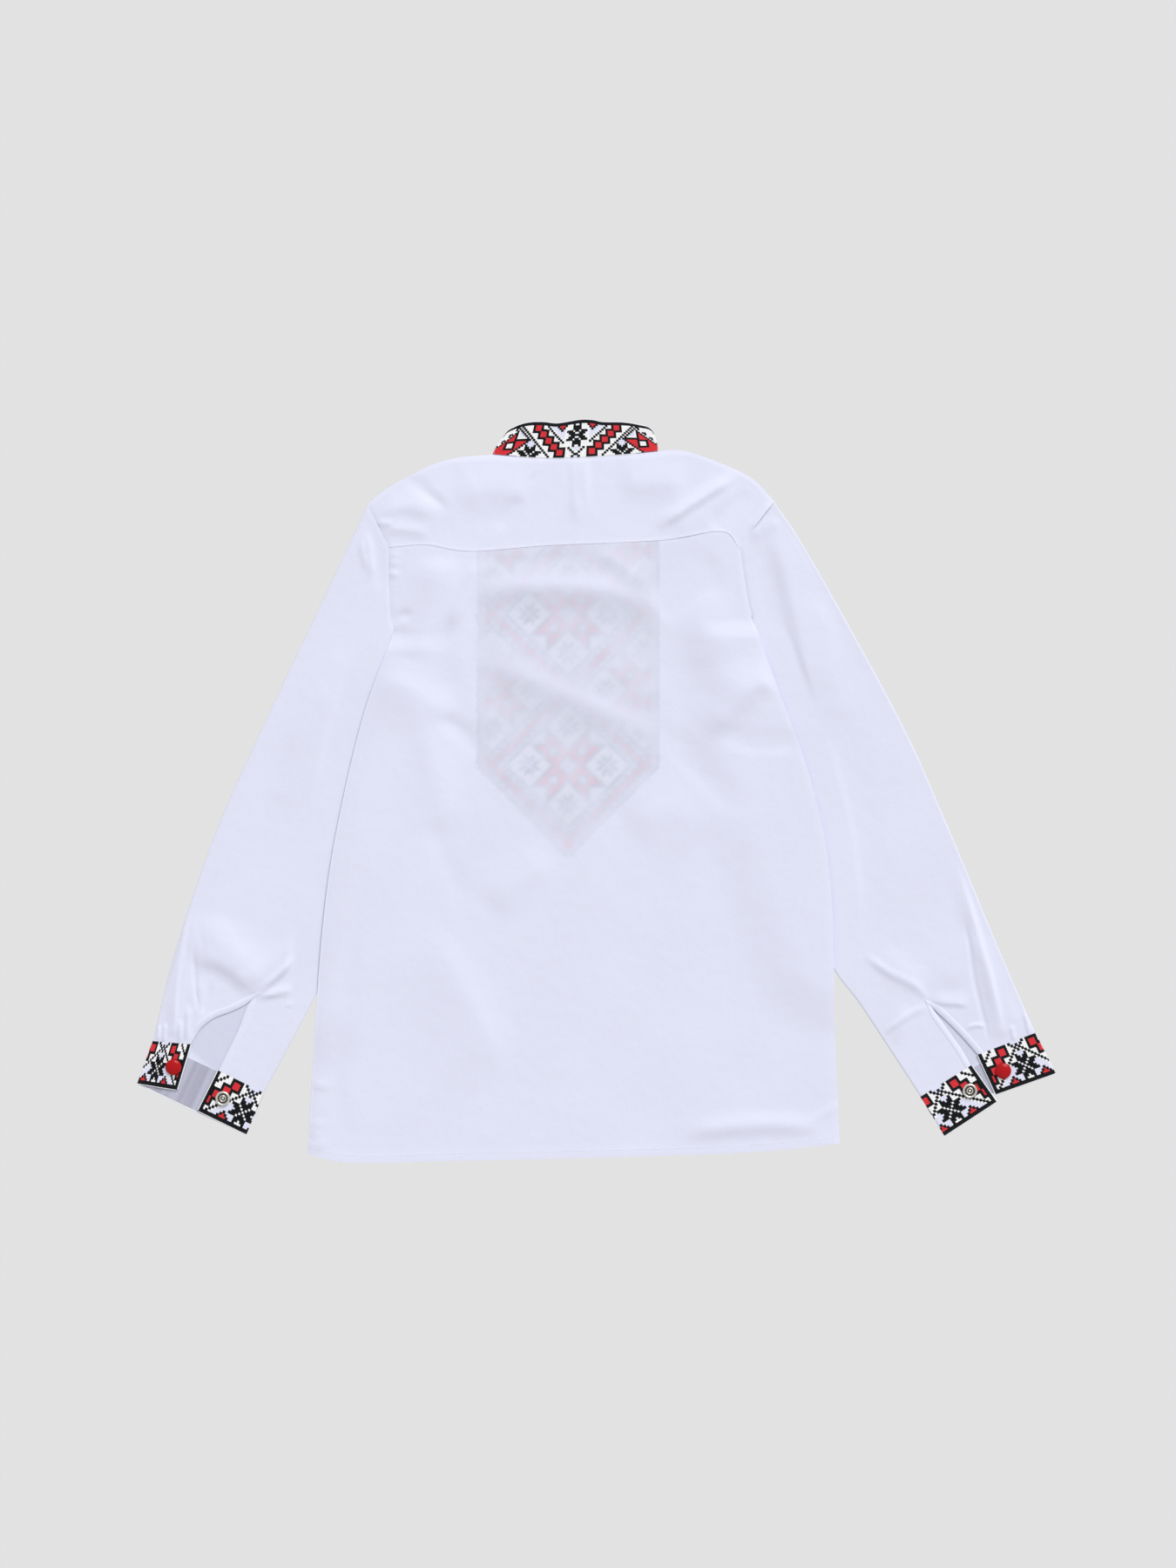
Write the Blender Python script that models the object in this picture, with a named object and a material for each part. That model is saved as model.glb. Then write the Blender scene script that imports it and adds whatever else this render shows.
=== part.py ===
"""A child's shirt with a stand collar and long sleeves, laid flat on its front with its back up.

The frame is in metres: +X to the right, +Y towards the collar, +Z up from the surface it lies on.
Each cut piece is a sheet of cloth worked out as a grid between its own seams and thickened.
"""

import math
from collections import namedtuple

import bmesh
import bpy
import numpy as np

# Driving dimensions
CLOTH = 0.001            # wall of every cloth piece
GAP = 0.0003             # space at seams and between layers
COLLAR_HEIGHT = 0.030    # stand band at the centre front
BINDING_WIDTH = 0.005    # strip along each edge of a wrist slit
NECK_SLIT = 0.0008       # width of the slit at the centre front
SAME_POINT = 0.00001     # points closer than this are one point
CAP_DIAMETER = 0.0125    # red snap cap
CAP_HEIGHT = 0.0030
RING_DIAMETER = 0.0115   # metal ring snap
RING_HEIGHT = 0.0018

# Heights of the two layers' middle surfaces, and how far the body is lifted by a sleeve below it
LOWER = CLOTH / 2
UPPER = LOWER + CLOTH + GAP
SLEEVE_LIFT = 2 * (CLOTH + GAP)
FOLD_RADIUS = (UPPER - LOWER) / 2
FOLD_INSET = FOLD_RADIUS + CLOTH / 2

# Grid resolution
BODY_COLUMNS = 28
BODY_ROWS = 28
CHEST_ROWS = 4
YOKE_ROWS = 5
SLIT_ROWS_BELOW_CHEST = 7
SHOULDER_COLUMNS = 8
SLEEVE_ROWS = 20
WRIST_ROWS = 8
CUFF_END_COLUMNS = 3
CUFF_UNDER_COLUMNS = 6
BAND_ROWS = 2
TURN_STEPS = 16

# Seam lines of the body as it lies: each row is a point, columns x and y
HEM = ((-0.2255, -0.2835), (-0.1900, -0.2903), (-0.0975, -0.2885), (0.0305, -0.2855),
       (0.1215, -0.2820), (0.1900, -0.2755))
SIDE_LEFT = ((-0.2255, -0.2835), (-0.2205, -0.2000), (-0.2135, -0.1050), (-0.2030, -0.0320),
             (-0.1820, 0.0585), (-0.1580, 0.1240))
SIDE_RIGHT = ((0.1900, -0.2755), (0.1865, -0.1920), (0.1825, -0.0700), (0.1670, 0.0095),
              (0.1370, 0.0925), (0.1220, 0.1345))
ARMHOLE_LEFT = ((-0.1580, 0.1240), (-0.1610, 0.1400), (-0.1620, 0.1905))
ARMHOLE_RIGHT = ((0.1220, 0.1345), (0.1180, 0.1500), (0.1120, 0.1900))
YOKE_END_LEFT = ((-0.1620, 0.1905), (-0.1700, 0.2080), (-0.1790, 0.2230))
YOKE_END_RIGHT = ((0.1120, 0.1900), (0.1250, 0.2080), (0.1390, 0.2260))
YOKE_SEAM = ((-0.1620, 0.1905), (-0.1325, 0.1925), (-0.0985, 0.1875), (-0.0370, 0.1920),
             (0.0495, 0.1960), (0.0975, 0.2030), (0.1120, 0.1900))
SHOULDER_LEFT = ((-0.1790, 0.2230), (-0.1640, 0.2355), (-0.1330, 0.2525), (-0.1085, 0.2600),
                 (-0.0815, 0.2625))
SHOULDER_RIGHT = ((0.0485, 0.2650), (0.0645, 0.2660), (0.0860, 0.2600), (0.1200, 0.2450),
                  (0.1390, 0.2260))
NECK_BACK = ((-0.0815, 0.2625), (-0.0355, 0.2595), (0.0160, 0.2620), (0.0485, 0.2650))
NECK_FRONT = ((-0.0815, 0.2625), (-0.0670, 0.2370), (-0.0440, 0.2110), (-0.0165, 0.2010),
              (0.0100, 0.2120), (0.0320, 0.2390), (0.0485, 0.2650))

# The collar's free edge: its back, which shows, and its front below
COLLAR_TOP_BACK = ((-0.0610, 0.2850), (-0.0515, 0.2880), (-0.0085, 0.2893), (0.0290, 0.2868),
                   (0.0385, 0.2835))
COLLAR_TOP_FRONT = ((-0.0610, 0.2850), (-0.0520, 0.2560), (-0.0380, 0.2370),
                    (-0.0165, 0.2010 + COLLAR_HEIGHT), (0.0050, 0.2380), (0.0210, 0.2570),
                    (0.0385, 0.2835))

# One cuff as its ends lie open on top: corner points on its seam side and on its hem side
Cuff = namedtuple("Cuff", "side end_a_seam end_a_hem fold_a_seam fold_a_hem "
                          "fold_b_seam fold_b_hem end_b_seam end_b_hem cap ring")
CUFF_LEFT = Cuff(
    side="left",
    end_a_seam=(-0.3170, -0.1980), end_a_hem=(-0.3275, -0.2330),
    fold_a_seam=(-0.3465, -0.1955), fold_a_hem=(-0.3585, -0.2280),
    fold_b_seam=(-0.2595, -0.2360), fold_b_hem=(-0.2730, -0.2678),
    end_b_seam=(-0.2950, -0.2185), end_b_hem=(-0.3105, -0.2495),
    cap=(-0.3300, -0.2155), ring=(-0.2915, -0.2400))
CUFF_RIGHT = Cuff(
    side="right",
    end_a_seam=(0.2980, -0.2060), end_a_hem=(0.3120, -0.2365),
    fold_a_seam=(0.3430, -0.1890), fold_a_hem=(0.3585, -0.2200),
    fold_b_seam=(0.2530, -0.2390), fold_b_hem=(0.2715, -0.2690),
    end_b_seam=(0.2925, -0.2145), end_b_hem=(0.3120, -0.2425),
    cap=(0.3175, -0.2185), ring=(0.2915, -0.2340))

# One sleeve: its outer edge from the shoulder down, its inner edge where it is tucked under the body
# and where it shows, the open edges of its slit from the tip down, and the share of each edge that
# lies above the tip
Sleeve = namedtuple("Sleeve", "cuff outer tucked shows open_a open_b outer_share inner_share")
SLEEVE_LEFT = Sleeve(
    cuff=CUFF_LEFT,
    outer=((-0.1790, 0.2230), (-0.2090, 0.1590), (-0.2610, 0.0495), (-0.2980, -0.0335),
           (-0.3290, -0.1250)),
    tucked=((-0.1690, 0.0650), (-0.1570, 0.0350), (-0.1540, 0.0000), (-0.1650, -0.0450),
            (-0.1850, -0.0950)),
    shows=((-0.2195, -0.1610), (-0.2330, -0.1870)),
    open_a=((-0.2640, -0.1585), (-0.2875, -0.1680), (-0.3045, -0.1810)),
    open_b=((-0.2640, -0.1585), (-0.2735, -0.1710), (-0.2840, -0.1930)),
    outer_share=0.84, inner_share=0.80)
SLEEVE_RIGHT = Sleeve(
    cuff=CUFF_RIGHT,
    outer=((0.1390, 0.2260), (0.1675, 0.1820), (0.2365, 0.0570), (0.2735, -0.0250),
           (0.3165, -0.1280)),
    tucked=((0.1310, 0.0780), (0.1270, 0.0450), (0.1310, 0.0050), (0.1460, -0.0350),
            (0.1630, -0.0850)),
    shows=((0.1840, -0.1370), (0.2075, -0.1695)),
    open_a=((0.2590, -0.1640), (0.2760, -0.1750), (0.2880, -0.1880)),
    open_b=((0.2590, -0.1640), (0.2680, -0.1800), (0.2800, -0.1970)),
    outer_share=0.86, inner_share=0.84)

# Largest folds of the upper layer: crest line, height at the crest and half width
Fold = namedtuple("Fold", "height width path")
FOLDS = (
    Fold(0.0032, 0.013, ((-0.1150, 0.1700), (-0.1100, 0.1200), (-0.0980, 0.0600))),
    Fold(0.0026, 0.012, ((-0.1300, 0.0350), (-0.1180, -0.0150))),
    Fold(0.0024, 0.013, ((-0.0800, 0.1620), (-0.0200, 0.1600), (0.0400, 0.1560))),
    Fold(0.0026, 0.014, ((-0.0750, 0.1120), (-0.0200, 0.0950), (0.0400, 0.0780))),
    Fold(0.0030, 0.014, ((0.0880, 0.1450), (0.0820, 0.1100))),
    Fold(0.0028, 0.014, ((0.0950, 0.0900), (0.1200, 0.0750))),
    Fold(0.0024, 0.013, ((-0.1350, 0.2220), (-0.1100, 0.2300))),
    Fold(0.0028, 0.012, ((0.0700, 0.2100), (0.1000, 0.2300))),
    Fold(0.0034, 0.011, ((-0.2950, -0.1120), (-0.2780, -0.1300))),
    Fold(0.0030, 0.009, ((-0.2640, -0.1450), (-0.2380, -0.1250))),
    Fold(0.0026, 0.008, ((-0.3200, -0.1050), (-0.3240, -0.1350), (-0.3290, -0.1850))),
    Fold(0.0022, 0.007, ((-0.3110, -0.1550), (-0.3100, -0.1820))),
    Fold(0.0030, 0.011, ((0.2780, -0.1430), (0.2900, -0.1250))),
    Fold(0.0028, 0.009, ((0.2480, -0.1480), (0.2300, -0.1350))),
    Fold(0.0026, 0.008, ((0.2400, -0.1780), (0.2330, -0.1930))),
    Fold(0.0026, 0.007, ((0.2960, -0.1000), (0.3060, -0.1350), (0.3150, -0.1850))),
    Fold(0.0024, 0.007, ((0.3120, -0.1150), (0.3270, -0.1750))),
    Fold(0.0026, 0.014, ((0.1750, 0.1350), (0.1900, 0.0700))),
    Fold(0.0026, 0.013, ((-0.2150, 0.0700), (-0.2450, 0.0000))),
)
EDGE_FADE = 0.018        # folds die out over this distance from a sewn or folded edge
WRIST_FADE = 0.010

# How the lift of the body dies out round the sleeve that lies below it
LIFT_MARGIN = 0.019
LIFT_SLOPE = 0.030
LIFT_START = 0.016       # length below the underarm in which the lift is reached
TUCK_SHARE = 0.085       # share of the body's side that a sleeve follows before it goes under
SIDE_CLEARANCE = 0.0005
TIP_WIDENING = 1.6       # the binding is this much wider round the slit's tip


def smooth(share):
    """Ease from 0 to 1."""
    share = np.clip(share, 0.0, 1.0)
    return share * share * (3.0 - 2.0 * share)


def curve(points, steps, start=0.0, end=1.0, samples=24):
    """Even steps along a smooth line through the points, from one share of its length to another."""
    knots = np.array(points, dtype=float)
    first = 2 * knots[0] - knots[1]
    last = 2 * knots[-1] - knots[-2]
    knots = np.vstack([first, knots, last])
    dense = []
    for a, b, c, d in zip(knots[:-3], knots[1:-2], knots[2:-1], knots[3:]):
        for t in np.linspace(0.0, 1.0, samples, endpoint=False):
            dense.append(0.5 * (2 * b + (c - a) * t + (2 * a - 5 * b + 4 * c - d) * t ** 2
                                + (3 * b - a - 3 * c + d) * t ** 3))
    dense.append(knots[-2])
    dense = np.array(dense)
    length = np.concatenate([[0.0], np.cumsum(np.linalg.norm(np.diff(dense, axis=0), axis=1))])
    wanted = np.linspace(start, end, steps + 1) * length[-1]
    return np.column_stack([np.interp(wanted, length, dense[:, k]) for k in range(2)])


def join(*lines):
    """Lines end to end, with each shared end kept once."""
    parts = [lines[0]] + [line[1:] for line in lines[1:]]
    return np.vstack(parts)


def sideways(line):
    """Unit vectors to the left of a line's direction of travel."""
    along = np.gradient(line, axis=0)
    along /= np.linalg.norm(along, axis=1)[:, None]
    return np.column_stack([-along[:, 1], along[:, 0]])


def coons(bottom, top, left, right):
    """Grid of plan points, rows from bottom to top, filling four edges that share their corners."""
    u = np.linspace(0.0, 1.0, len(bottom))[None, :, None]
    v = np.linspace(0.0, 1.0, len(left))[:, None, None]
    ruled = (1 - v) * bottom[None] + v * top[None] + (1 - u) * left[:, None] + u * right[:, None]
    corners = ((1 - v) * ((1 - u) * bottom[0] + u * bottom[-1])
               + v * ((1 - u) * top[0] + u * top[-1]))
    return ruled - corners


def distance(plan, path):
    """Distance of each plan point from a line of points."""
    path = np.asarray(path, dtype=float)
    start, step = path[:-1], np.diff(path, axis=0)
    offset = plan[..., None, :] - start
    share = np.clip((offset * step).sum(-1) / (step * step).sum(-1), 0.0, 1.0)
    return np.linalg.norm(offset - share[..., None] * step, axis=-1).min(-1)


def inside(plan, outline):
    """Whether each plan point lies inside a closed outline."""
    x, y = plan[..., 0], plan[..., 1]
    crossings = np.zeros(x.shape, dtype=int)
    for (ax, ay), (bx, by) in zip(outline, np.roll(outline, -1, axis=0)):
        spans = (ay > y) != (by > y)
        rise = by - ay if by != ay else 1.0
        crossings += spans & (x < (bx - ax) * (y - ay) / rise + ax)
    return crossings % 2 == 1


def fold_height(plan, edges):
    """Height that the folds add, dying out towards the given edges (pairs of line and distance)."""
    height = np.zeros(plan.shape[:-1])
    for fold in FOLDS:
        height += fold.height * np.exp(-(distance(plan, fold.path) / fold.width) ** 2)
    for line, fade in edges:
        height *= smooth(distance(plan, line) / fade)
    return height


def with_height(plan, height):
    """Plan points and their heights as points in space."""
    return np.dstack([plan, np.broadcast_to(height, plan.shape[:-1])])


# Surfaces and objects

def material(name, color, roughness, metallic=0.0):
    shade = bpy.data.materials.new(name)
    shade.use_nodes = True
    shader = shade.node_tree.nodes["Principled BSDF"]
    shader.inputs["Base Color"].default_value = (*color, 1.0)
    shader.inputs["Roughness"].default_value = roughness
    shader.inputs["Metallic"].default_value = metallic
    return shade


def place(name, mesh, shade):
    """Link a mesh as a named object with its own copy of a material."""
    own = shade.copy()
    own.name = name + "_" + shade.name
    mesh.materials.append(own)
    obj = bpy.data.objects.new(name, mesh)
    bpy.context.scene.collection.objects.link(obj)
    return obj


def cloth(name, points, shade, closed=False, cut_column=None):
    """A sheet of cloth on a grid of points, rows by columns, thickened to the cloth's wall.

    A closed sheet joins its last column to its first. At the cut column the sheet is open wherever
    the two columns stand apart, and whole wherever they share their points.
    """
    rows, columns = points.shape[:2]
    index = np.arange(rows * columns).reshape(rows, columns)
    faces = []
    for row in range(rows - 1):
        for column in range(columns if closed else columns - 1):
            if column == cut_column:
                continue
            after = (column + 1) % columns
            a, b = index[row, column], index[row, after]
            c, d = index[row + 1, after], index[row + 1, column]
            faces += [(a, b, c), (a, c, d)]
    mesh = bpy.data.meshes.new(name)
    mesh.from_pydata(points.reshape(-1, 3).tolist(), [], faces)
    shape = bmesh.new()
    shape.from_mesh(mesh)
    bmesh.ops.remove_doubles(shape, verts=shape.verts, dist=SAME_POINT)
    shape.to_mesh(mesh)
    shape.free()
    mesh.shade_smooth()
    obj = place(name, mesh, shade)
    wall = obj.modifiers.new("Wall", "SOLIDIFY")
    wall.thickness = CLOTH
    wall.offset = 0.0
    return obj


def inset(grid, left=0.0, right=0.0, first=0.0, last=0.0):
    """Move a plan grid's edge points inwards: its sides along its rows, its ends square to them."""
    result = grid.copy()
    for amount, edge, inner in ((left, 0, 1), (right, -1, -2)):
        inwards = grid[:, inner] - grid[:, edge]
        inwards /= np.linalg.norm(inwards, axis=1)[:, None]
        result[:, edge] += amount * inwards
    for amount, edge, inner in ((first, 0, 1), (last, -1, -2)):
        square = sideways(grid[edge])
        if (square * (grid[inner] - grid[edge])).sum() < 0:
            square = -square
        result[edge] += amount * square
    return result


def folded(plans, heights, closed=False):
    """Grids of plan points laid on each other and joined at folds, as one grid in space.

    Each plan's last column lies on the silhouette where the next plan's first column starts, and
    a closed one goes on from the last plan to the first. A fold's turn follows its upper plan.
    """
    pieces = []
    for number, (plan, height) in enumerate(zip(plans, heights)):
        starts_at_fold = closed or number > 0
        ends_at_fold = closed or number < len(plans) - 1
        if starts_at_fold:
            if np.max(height) > np.max(heights[number - 1]):
                turn = inset(plan, left=CLOTH / 2)[:, :1]
            else:
                turn = inset(plans[number - 1], right=CLOTH / 2)[:, -1:]
            pieces.append(with_height(turn, (UPPER + LOWER) / 2))
        trimmed = inset(plan, left=FOLD_INSET * starts_at_fold, right=FOLD_INSET * ends_at_fold)
        pieces.append(with_height(trimmed, height))
    return np.hstack(pieces)


# The body: one front, one back and a yoke

def body_lines():
    """Seam lines of the body, from left to right and from hem to shoulder."""
    lines = {
        "hem": curve(HEM, BODY_COLUMNS),
        "side_left": curve(SIDE_LEFT, BODY_ROWS),
        "side_right": curve(SIDE_RIGHT, BODY_ROWS),
        "arm_left": curve(ARMHOLE_LEFT, CHEST_ROWS),
        "arm_right": curve(ARMHOLE_RIGHT, CHEST_ROWS),
        "end_left": curve(YOKE_END_LEFT, YOKE_ROWS),
        "end_right": curve(YOKE_END_RIGHT, YOKE_ROWS),
        "yoke_seam": curve(YOKE_SEAM, BODY_COLUMNS),
    }
    share = np.linspace(0.0, 1.0, BODY_COLUMNS + 1)[:, None]
    lines["chest"] = (1 - share) * lines["side_left"][-1] + share * lines["side_right"][-1]
    neck_columns = BODY_COLUMNS - 2 * SHOULDER_COLUMNS
    left, right = curve(SHOULDER_LEFT, SHOULDER_COLUMNS), curve(SHOULDER_RIGHT, SHOULDER_COLUMNS)
    lines["neck_back"] = curve(NECK_BACK, neck_columns)
    lines["neck_front"] = curve(NECK_FRONT, neck_columns)
    lines["top_back"] = join(left, lines["neck_back"], right)
    lines["top_front"] = join(left, lines["neck_front"], right)
    return lines


def body_lift(plan, body):
    """Height by which the sleeves below raise the body's two layers."""
    lift = np.zeros(plan.shape[:-1])
    for sleeve, side in ((SLEEVE_LEFT, body["side_left"]), (SLEEVE_RIGHT, body["side_right"])):
        hidden = curve(inner_points(sleeve), 80)
        hidden = hidden[(hidden[:, 1] < side[-1, 1] - LIFT_START)
                        & (hidden[:, 1] > sleeve.shows[0][1])]
        edge = side[(side[:, 1] < hidden[0, 1]) & (side[:, 1] > hidden[-1, 1])]
        outline = np.vstack([hidden, edge])
        away = distance(plan, np.vstack([outline, outline[:1]]))
        away[inside(plan, outline)] = 0.0
        near = 1 - smooth((away - LIFT_MARGIN) / LIFT_SLOPE)
        below_arm = smooth((side[-1, 1] - plan[..., 1]) / LIFT_START)
        lift = np.maximum(lift, SLEEVE_LIFT * near * below_arm)
    return lift


def body_folds(plan, body):
    """Height of the folds on the back and the yoke."""
    sewn = ("side_left", "side_right", "hem", "top_back")
    return fold_height(plan, [(body[line], EDGE_FADE) for line in sewn])


def make_body(body, cotton):
    below_chest = coons(body["hem"], body["chest"], body["side_left"], body["side_right"])

    back = coons(body["chest"], body["yoke_seam"], body["arm_left"], body["arm_right"])
    back = np.vstack([below_chest, back[1:]])
    back = inset(back, left=GAP / 2, right=GAP / 2, last=GAP / 2)
    height = UPPER + body_lift(back, body) + body_folds(back, body)
    cloth("back_panel", with_height(back, height), cotton)

    yoke = coons(body["yoke_seam"], body["top_back"], body["end_left"], body["end_right"])
    yoke = inset(yoke, left=GAP / 2, right=GAP / 2, first=GAP / 2, last=GAP / 2)
    cloth("back_yoke", with_height(yoke, UPPER + body_folds(yoke, body)), cotton)

    front = coons(body["chest"], body["top_front"],
                  join(body["arm_left"], body["end_left"]),
                  join(body["arm_right"], body["end_right"]))
    front = np.vstack([below_chest, front[1:]])
    front = inset(front, left=GAP / 2, right=GAP / 2, last=GAP / 2)
    middle = BODY_COLUMNS // 2
    left, right = front[:, :middle + 1].copy(), front[:, middle:].copy()
    slit = np.s_[BODY_ROWS - SLIT_ROWS_BELOW_CHEST:]
    left[slit, -1, 0] -= NECK_SLIT / 2
    right[slit, 0, 0] += NECK_SLIT / 2
    front = np.hstack([left, right])
    height = LOWER + body_lift(front, body)
    cloth("front_panel", with_height(front, height), cotton, cut_column=middle)


# The sleeves, each a flattened tube with a bound slit at the wrist

def inner_points(sleeve):
    """Inner edge of a sleeve: down the body's side, then under the body and out to the cuff."""
    side, outwards = (SIDE_LEFT, -1) if sleeve is SLEEVE_LEFT else (SIDE_RIGHT, 1)
    follows = curve(side[::-1], 3, end=TUCK_SHARE) + (outwards * SIDE_CLEARANCE, 0.0)
    return [*follows, *sleeve.tucked, *sleeve.shows, sleeve.cuff.fold_b_seam]


def two_part_curve(points, share):
    """Even steps above the slit's tip, then even steps from its level to the cuff."""
    return join(curve(points, SLEEVE_ROWS, end=share), curve(points, WRIST_ROWS, start=share))


def slit_lines(sleeve):
    """Open edges of the slit, and the cloth's edges behind the binding, from the tip down."""
    cuff = sleeve.cuff
    open_a = curve(sleeve.open_a + (cuff.end_a_seam,), WRIST_ROWS)
    open_b = curve(sleeve.open_b + (cuff.end_b_seam,), WRIST_ROWS)
    turn = 1 if sleeve is SLEEVE_LEFT else -1
    back_a, back_b = -turn * sideways(open_a), turn * sideways(open_b)
    for back, fold, end in ((back_a, cuff.fold_a_seam, cuff.end_a_seam),
                            (back_b, cuff.fold_b_seam, cuff.end_b_seam)):
        along_seam = np.subtract(fold, end)
        back[-1] = along_seam / np.linalg.norm(along_seam)
    at_tip = back_a[0] + back_b[0]
    at_tip *= TIP_WIDENING / np.linalg.norm(at_tip)
    back_a[0] = back_b[0] = at_tip
    return open_a, open_b, back_a, back_b


def make_sleeve(sleeve, body, cotton):
    side = sleeve.cuff.side
    cuff = sleeve.cuff
    outer = two_part_curve(sleeve.outer + (cuff.fold_a_seam,), sleeve.outer_share)
    inner = two_part_curve(inner_points(sleeve), sleeve.inner_share)
    open_a, open_b, back_a, back_b = slit_lines(sleeve)
    cloth_a = open_a + (BINDING_WIDTH + GAP) * back_a
    cloth_b = open_b + (BINDING_WIDTH + GAP) * back_b

    armhole = join(body["end_" + side][::-1], body["arm_" + side][::-1])
    armhole[-1] = inner[0]
    seam_end = armhole[YOKE_ROWS]
    down = np.linspace(0.0, 1.0, SLEEVE_ROWS + 1)[:, None]
    line_a = join((1 - down) * seam_end + down * cloth_a[0], cloth_a)
    line_b = join((1 - down) * seam_end + down * cloth_b[0], cloth_b)

    def wrist(start, end, columns):
        return curve((start, end), columns)

    strip_a = coons(armhole[:YOKE_ROWS + 1], wrist(outer[-1], cloth_a[-1], YOKE_ROWS),
                    outer, line_a)
    strip_b = coons(armhole[YOKE_ROWS:], wrist(cloth_b[-1], inner[-1], CHEST_ROWS),
                    line_b, inner)
    under = coons(armhole, wrist(outer[-1], inner[-1], YOKE_ROWS + CHEST_ROWS), outer, inner)
    under = under[:, ::-1]
    upper = inset(np.hstack([strip_a, strip_b]), first=GAP / 2, last=GAP / 2)
    under = inset(under, first=GAP / 2, last=GAP / 2)

    edges = [(outer, EDGE_FADE), (inner, EDGE_FADE),
             (wrist(outer[-1], cloth_a[-1], 1), WRIST_FADE),
             (wrist(cloth_b[-1], inner[-1], 1), WRIST_FADE)]

    def top_height(plan):
        shown = 1 - body_lift(plan, body) / SLEEVE_LIFT
        return UPPER + fold_height(plan, edges) * shown

    ring = folded([upper, under], [top_height(upper), LOWER], closed=True)
    cloth("sleeve_" + side, ring, cotton, closed=True, cut_column=YOKE_ROWS + 1)

    stations_a = np.stack([open_a + BINDING_WIDTH * back_a, open_a], axis=1)[::-1]
    stations_b = np.stack([open_b + BINDING_WIDTH * back_b, open_b], axis=1)[1:]
    strip = inset(np.vstack([stations_a, stations_b]), first=GAP / 2, last=GAP / 2)
    cloth("slit_binding_" + side, with_height(strip, top_height(strip)), cotton)


# The cuffs and the collar, bands folded flat on themselves

def between(seam, edge):
    """Rows of plan points from a band's seam line to its free edge."""
    share = np.linspace(0.0, 1.0, BAND_ROWS + 1)[:, None, None]
    return (1 - share) * seam + share * edge


def make_cuff(cuff, cotton):
    def part(seam_start, seam_end, hem_start, hem_end, columns):
        return between(curve((seam_start, seam_end), columns), curve((hem_start, hem_end), columns))

    end_a = part(cuff.end_a_seam, cuff.fold_a_seam, cuff.end_a_hem, cuff.fold_a_hem,
                 CUFF_END_COLUMNS)
    under = part(cuff.fold_a_seam, cuff.fold_b_seam, cuff.fold_a_hem, cuff.fold_b_hem,
                 CUFF_UNDER_COLUMNS)
    end_b = part(cuff.fold_b_seam, cuff.end_b_seam, cuff.fold_b_hem, cuff.end_b_hem,
                 CUFF_END_COLUMNS)
    plans = [inset(plan, first=GAP / 2) for plan in (end_a, under, end_b)]
    cloth("cuff_" + cuff.side, folded(plans, [UPPER, LOWER, UPPER]), cotton)


def make_collar(body, cotton):
    neck = body["neck_front"]
    middle = len(neck) // 2
    front_edge = curve(COLLAR_TOP_FRONT, len(neck) - 1)
    front_left = between(neck[middle::-1], front_edge[middle::-1])
    front_right = between(neck[:middle - 1:-1], front_edge[:middle - 1:-1])
    back = between(body["neck_back"], curve(COLLAR_TOP_BACK, len(neck) - 1))
    plans = [inset(front_left, left=NECK_SLIT / 2, right=GAP, first=GAP / 2),
             inset(back, left=GAP, right=GAP, first=2 * GAP),
             inset(front_right, left=GAP, right=NECK_SLIT / 2, first=GAP / 2)]
    cloth("collar", folded(plans, [LOWER, UPPER, LOWER]), cotton)


# The snaps, turned pieces that sit on the cuffs' ends

def turned(name, profile, spot, shade):
    """A solid turned from a half section, columns radius and height, standing on a cuff's end."""
    shape = bmesh.new()
    line = [shape.verts.new((radius, 0.0, height)) for radius, height in profile]
    edges = [shape.edges.new(pair) for pair in zip(line, line[1:])]
    bmesh.ops.spin(shape, geom=line + edges, cent=(0, 0, 0), axis=(0, 0, 1),
                   angle=2 * math.pi, steps=TURN_STEPS)
    bmesh.ops.remove_doubles(shape, verts=shape.verts, dist=SAME_POINT)
    bmesh.ops.recalc_face_normals(shape, faces=shape.faces)
    mesh = bpy.data.meshes.new(name)
    shape.to_mesh(mesh)
    shape.free()
    mesh.shade_smooth()
    mesh.set_sharp_from_angle(angle=math.radians(35))
    obj = place(name, mesh, shade)
    obj.location = (*spot, UPPER + CLOTH / 2 + GAP)
    return obj


def make_snaps(cuff, red, metal):
    radius, rim = CAP_DIAMETER / 2, CAP_HEIGHT / 5
    arc = [math.radians(angle) for angle in (0, 20, 40, 60, 75)]
    dome = [(radius * math.cos(turn), rim + (CAP_HEIGHT - rim) * math.sin(turn)) for turn in arc]
    turned("snap_cap_" + cuff.side, [(0, 0), (radius, 0), *dome, (0, CAP_HEIGHT)], cuff.cap, red)

    radius, bead = RING_DIAMETER / 2, RING_HEIGHT / 2
    arc = [math.radians(angle) for angle in (-45, 0, 45, 90, 135, 180)]
    bowl = [(radius - bead + bead * math.cos(turn), bead + bead * math.sin(turn)) for turn in arc]
    floor = RING_HEIGHT / 3
    profile = [(0, 0), (radius - bead, 0), *bowl, (radius - 2 * bead, floor), (0, floor)]
    turned("snap_ring_" + cuff.side, profile, cuff.ring, metal)


def main():
    for obj in list(bpy.data.objects):
        bpy.data.objects.remove(obj)
    cotton = material("cotton", (0.75, 0.77, 0.90), 0.85)
    red = material("red_cap", (0.52, 0.01, 0.01), 0.3)
    metal = material("snap_metal", (0.72, 0.70, 0.66), 0.3, metallic=1.0)
    body = body_lines()
    make_body(body, cotton)
    make_collar(body, cotton)
    for sleeve in (SLEEVE_LEFT, SLEEVE_RIGHT):
        make_sleeve(sleeve, body, cotton)
        make_cuff(sleeve.cuff, cotton)
        make_snaps(sleeve.cuff, red, metal)


main()
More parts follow.
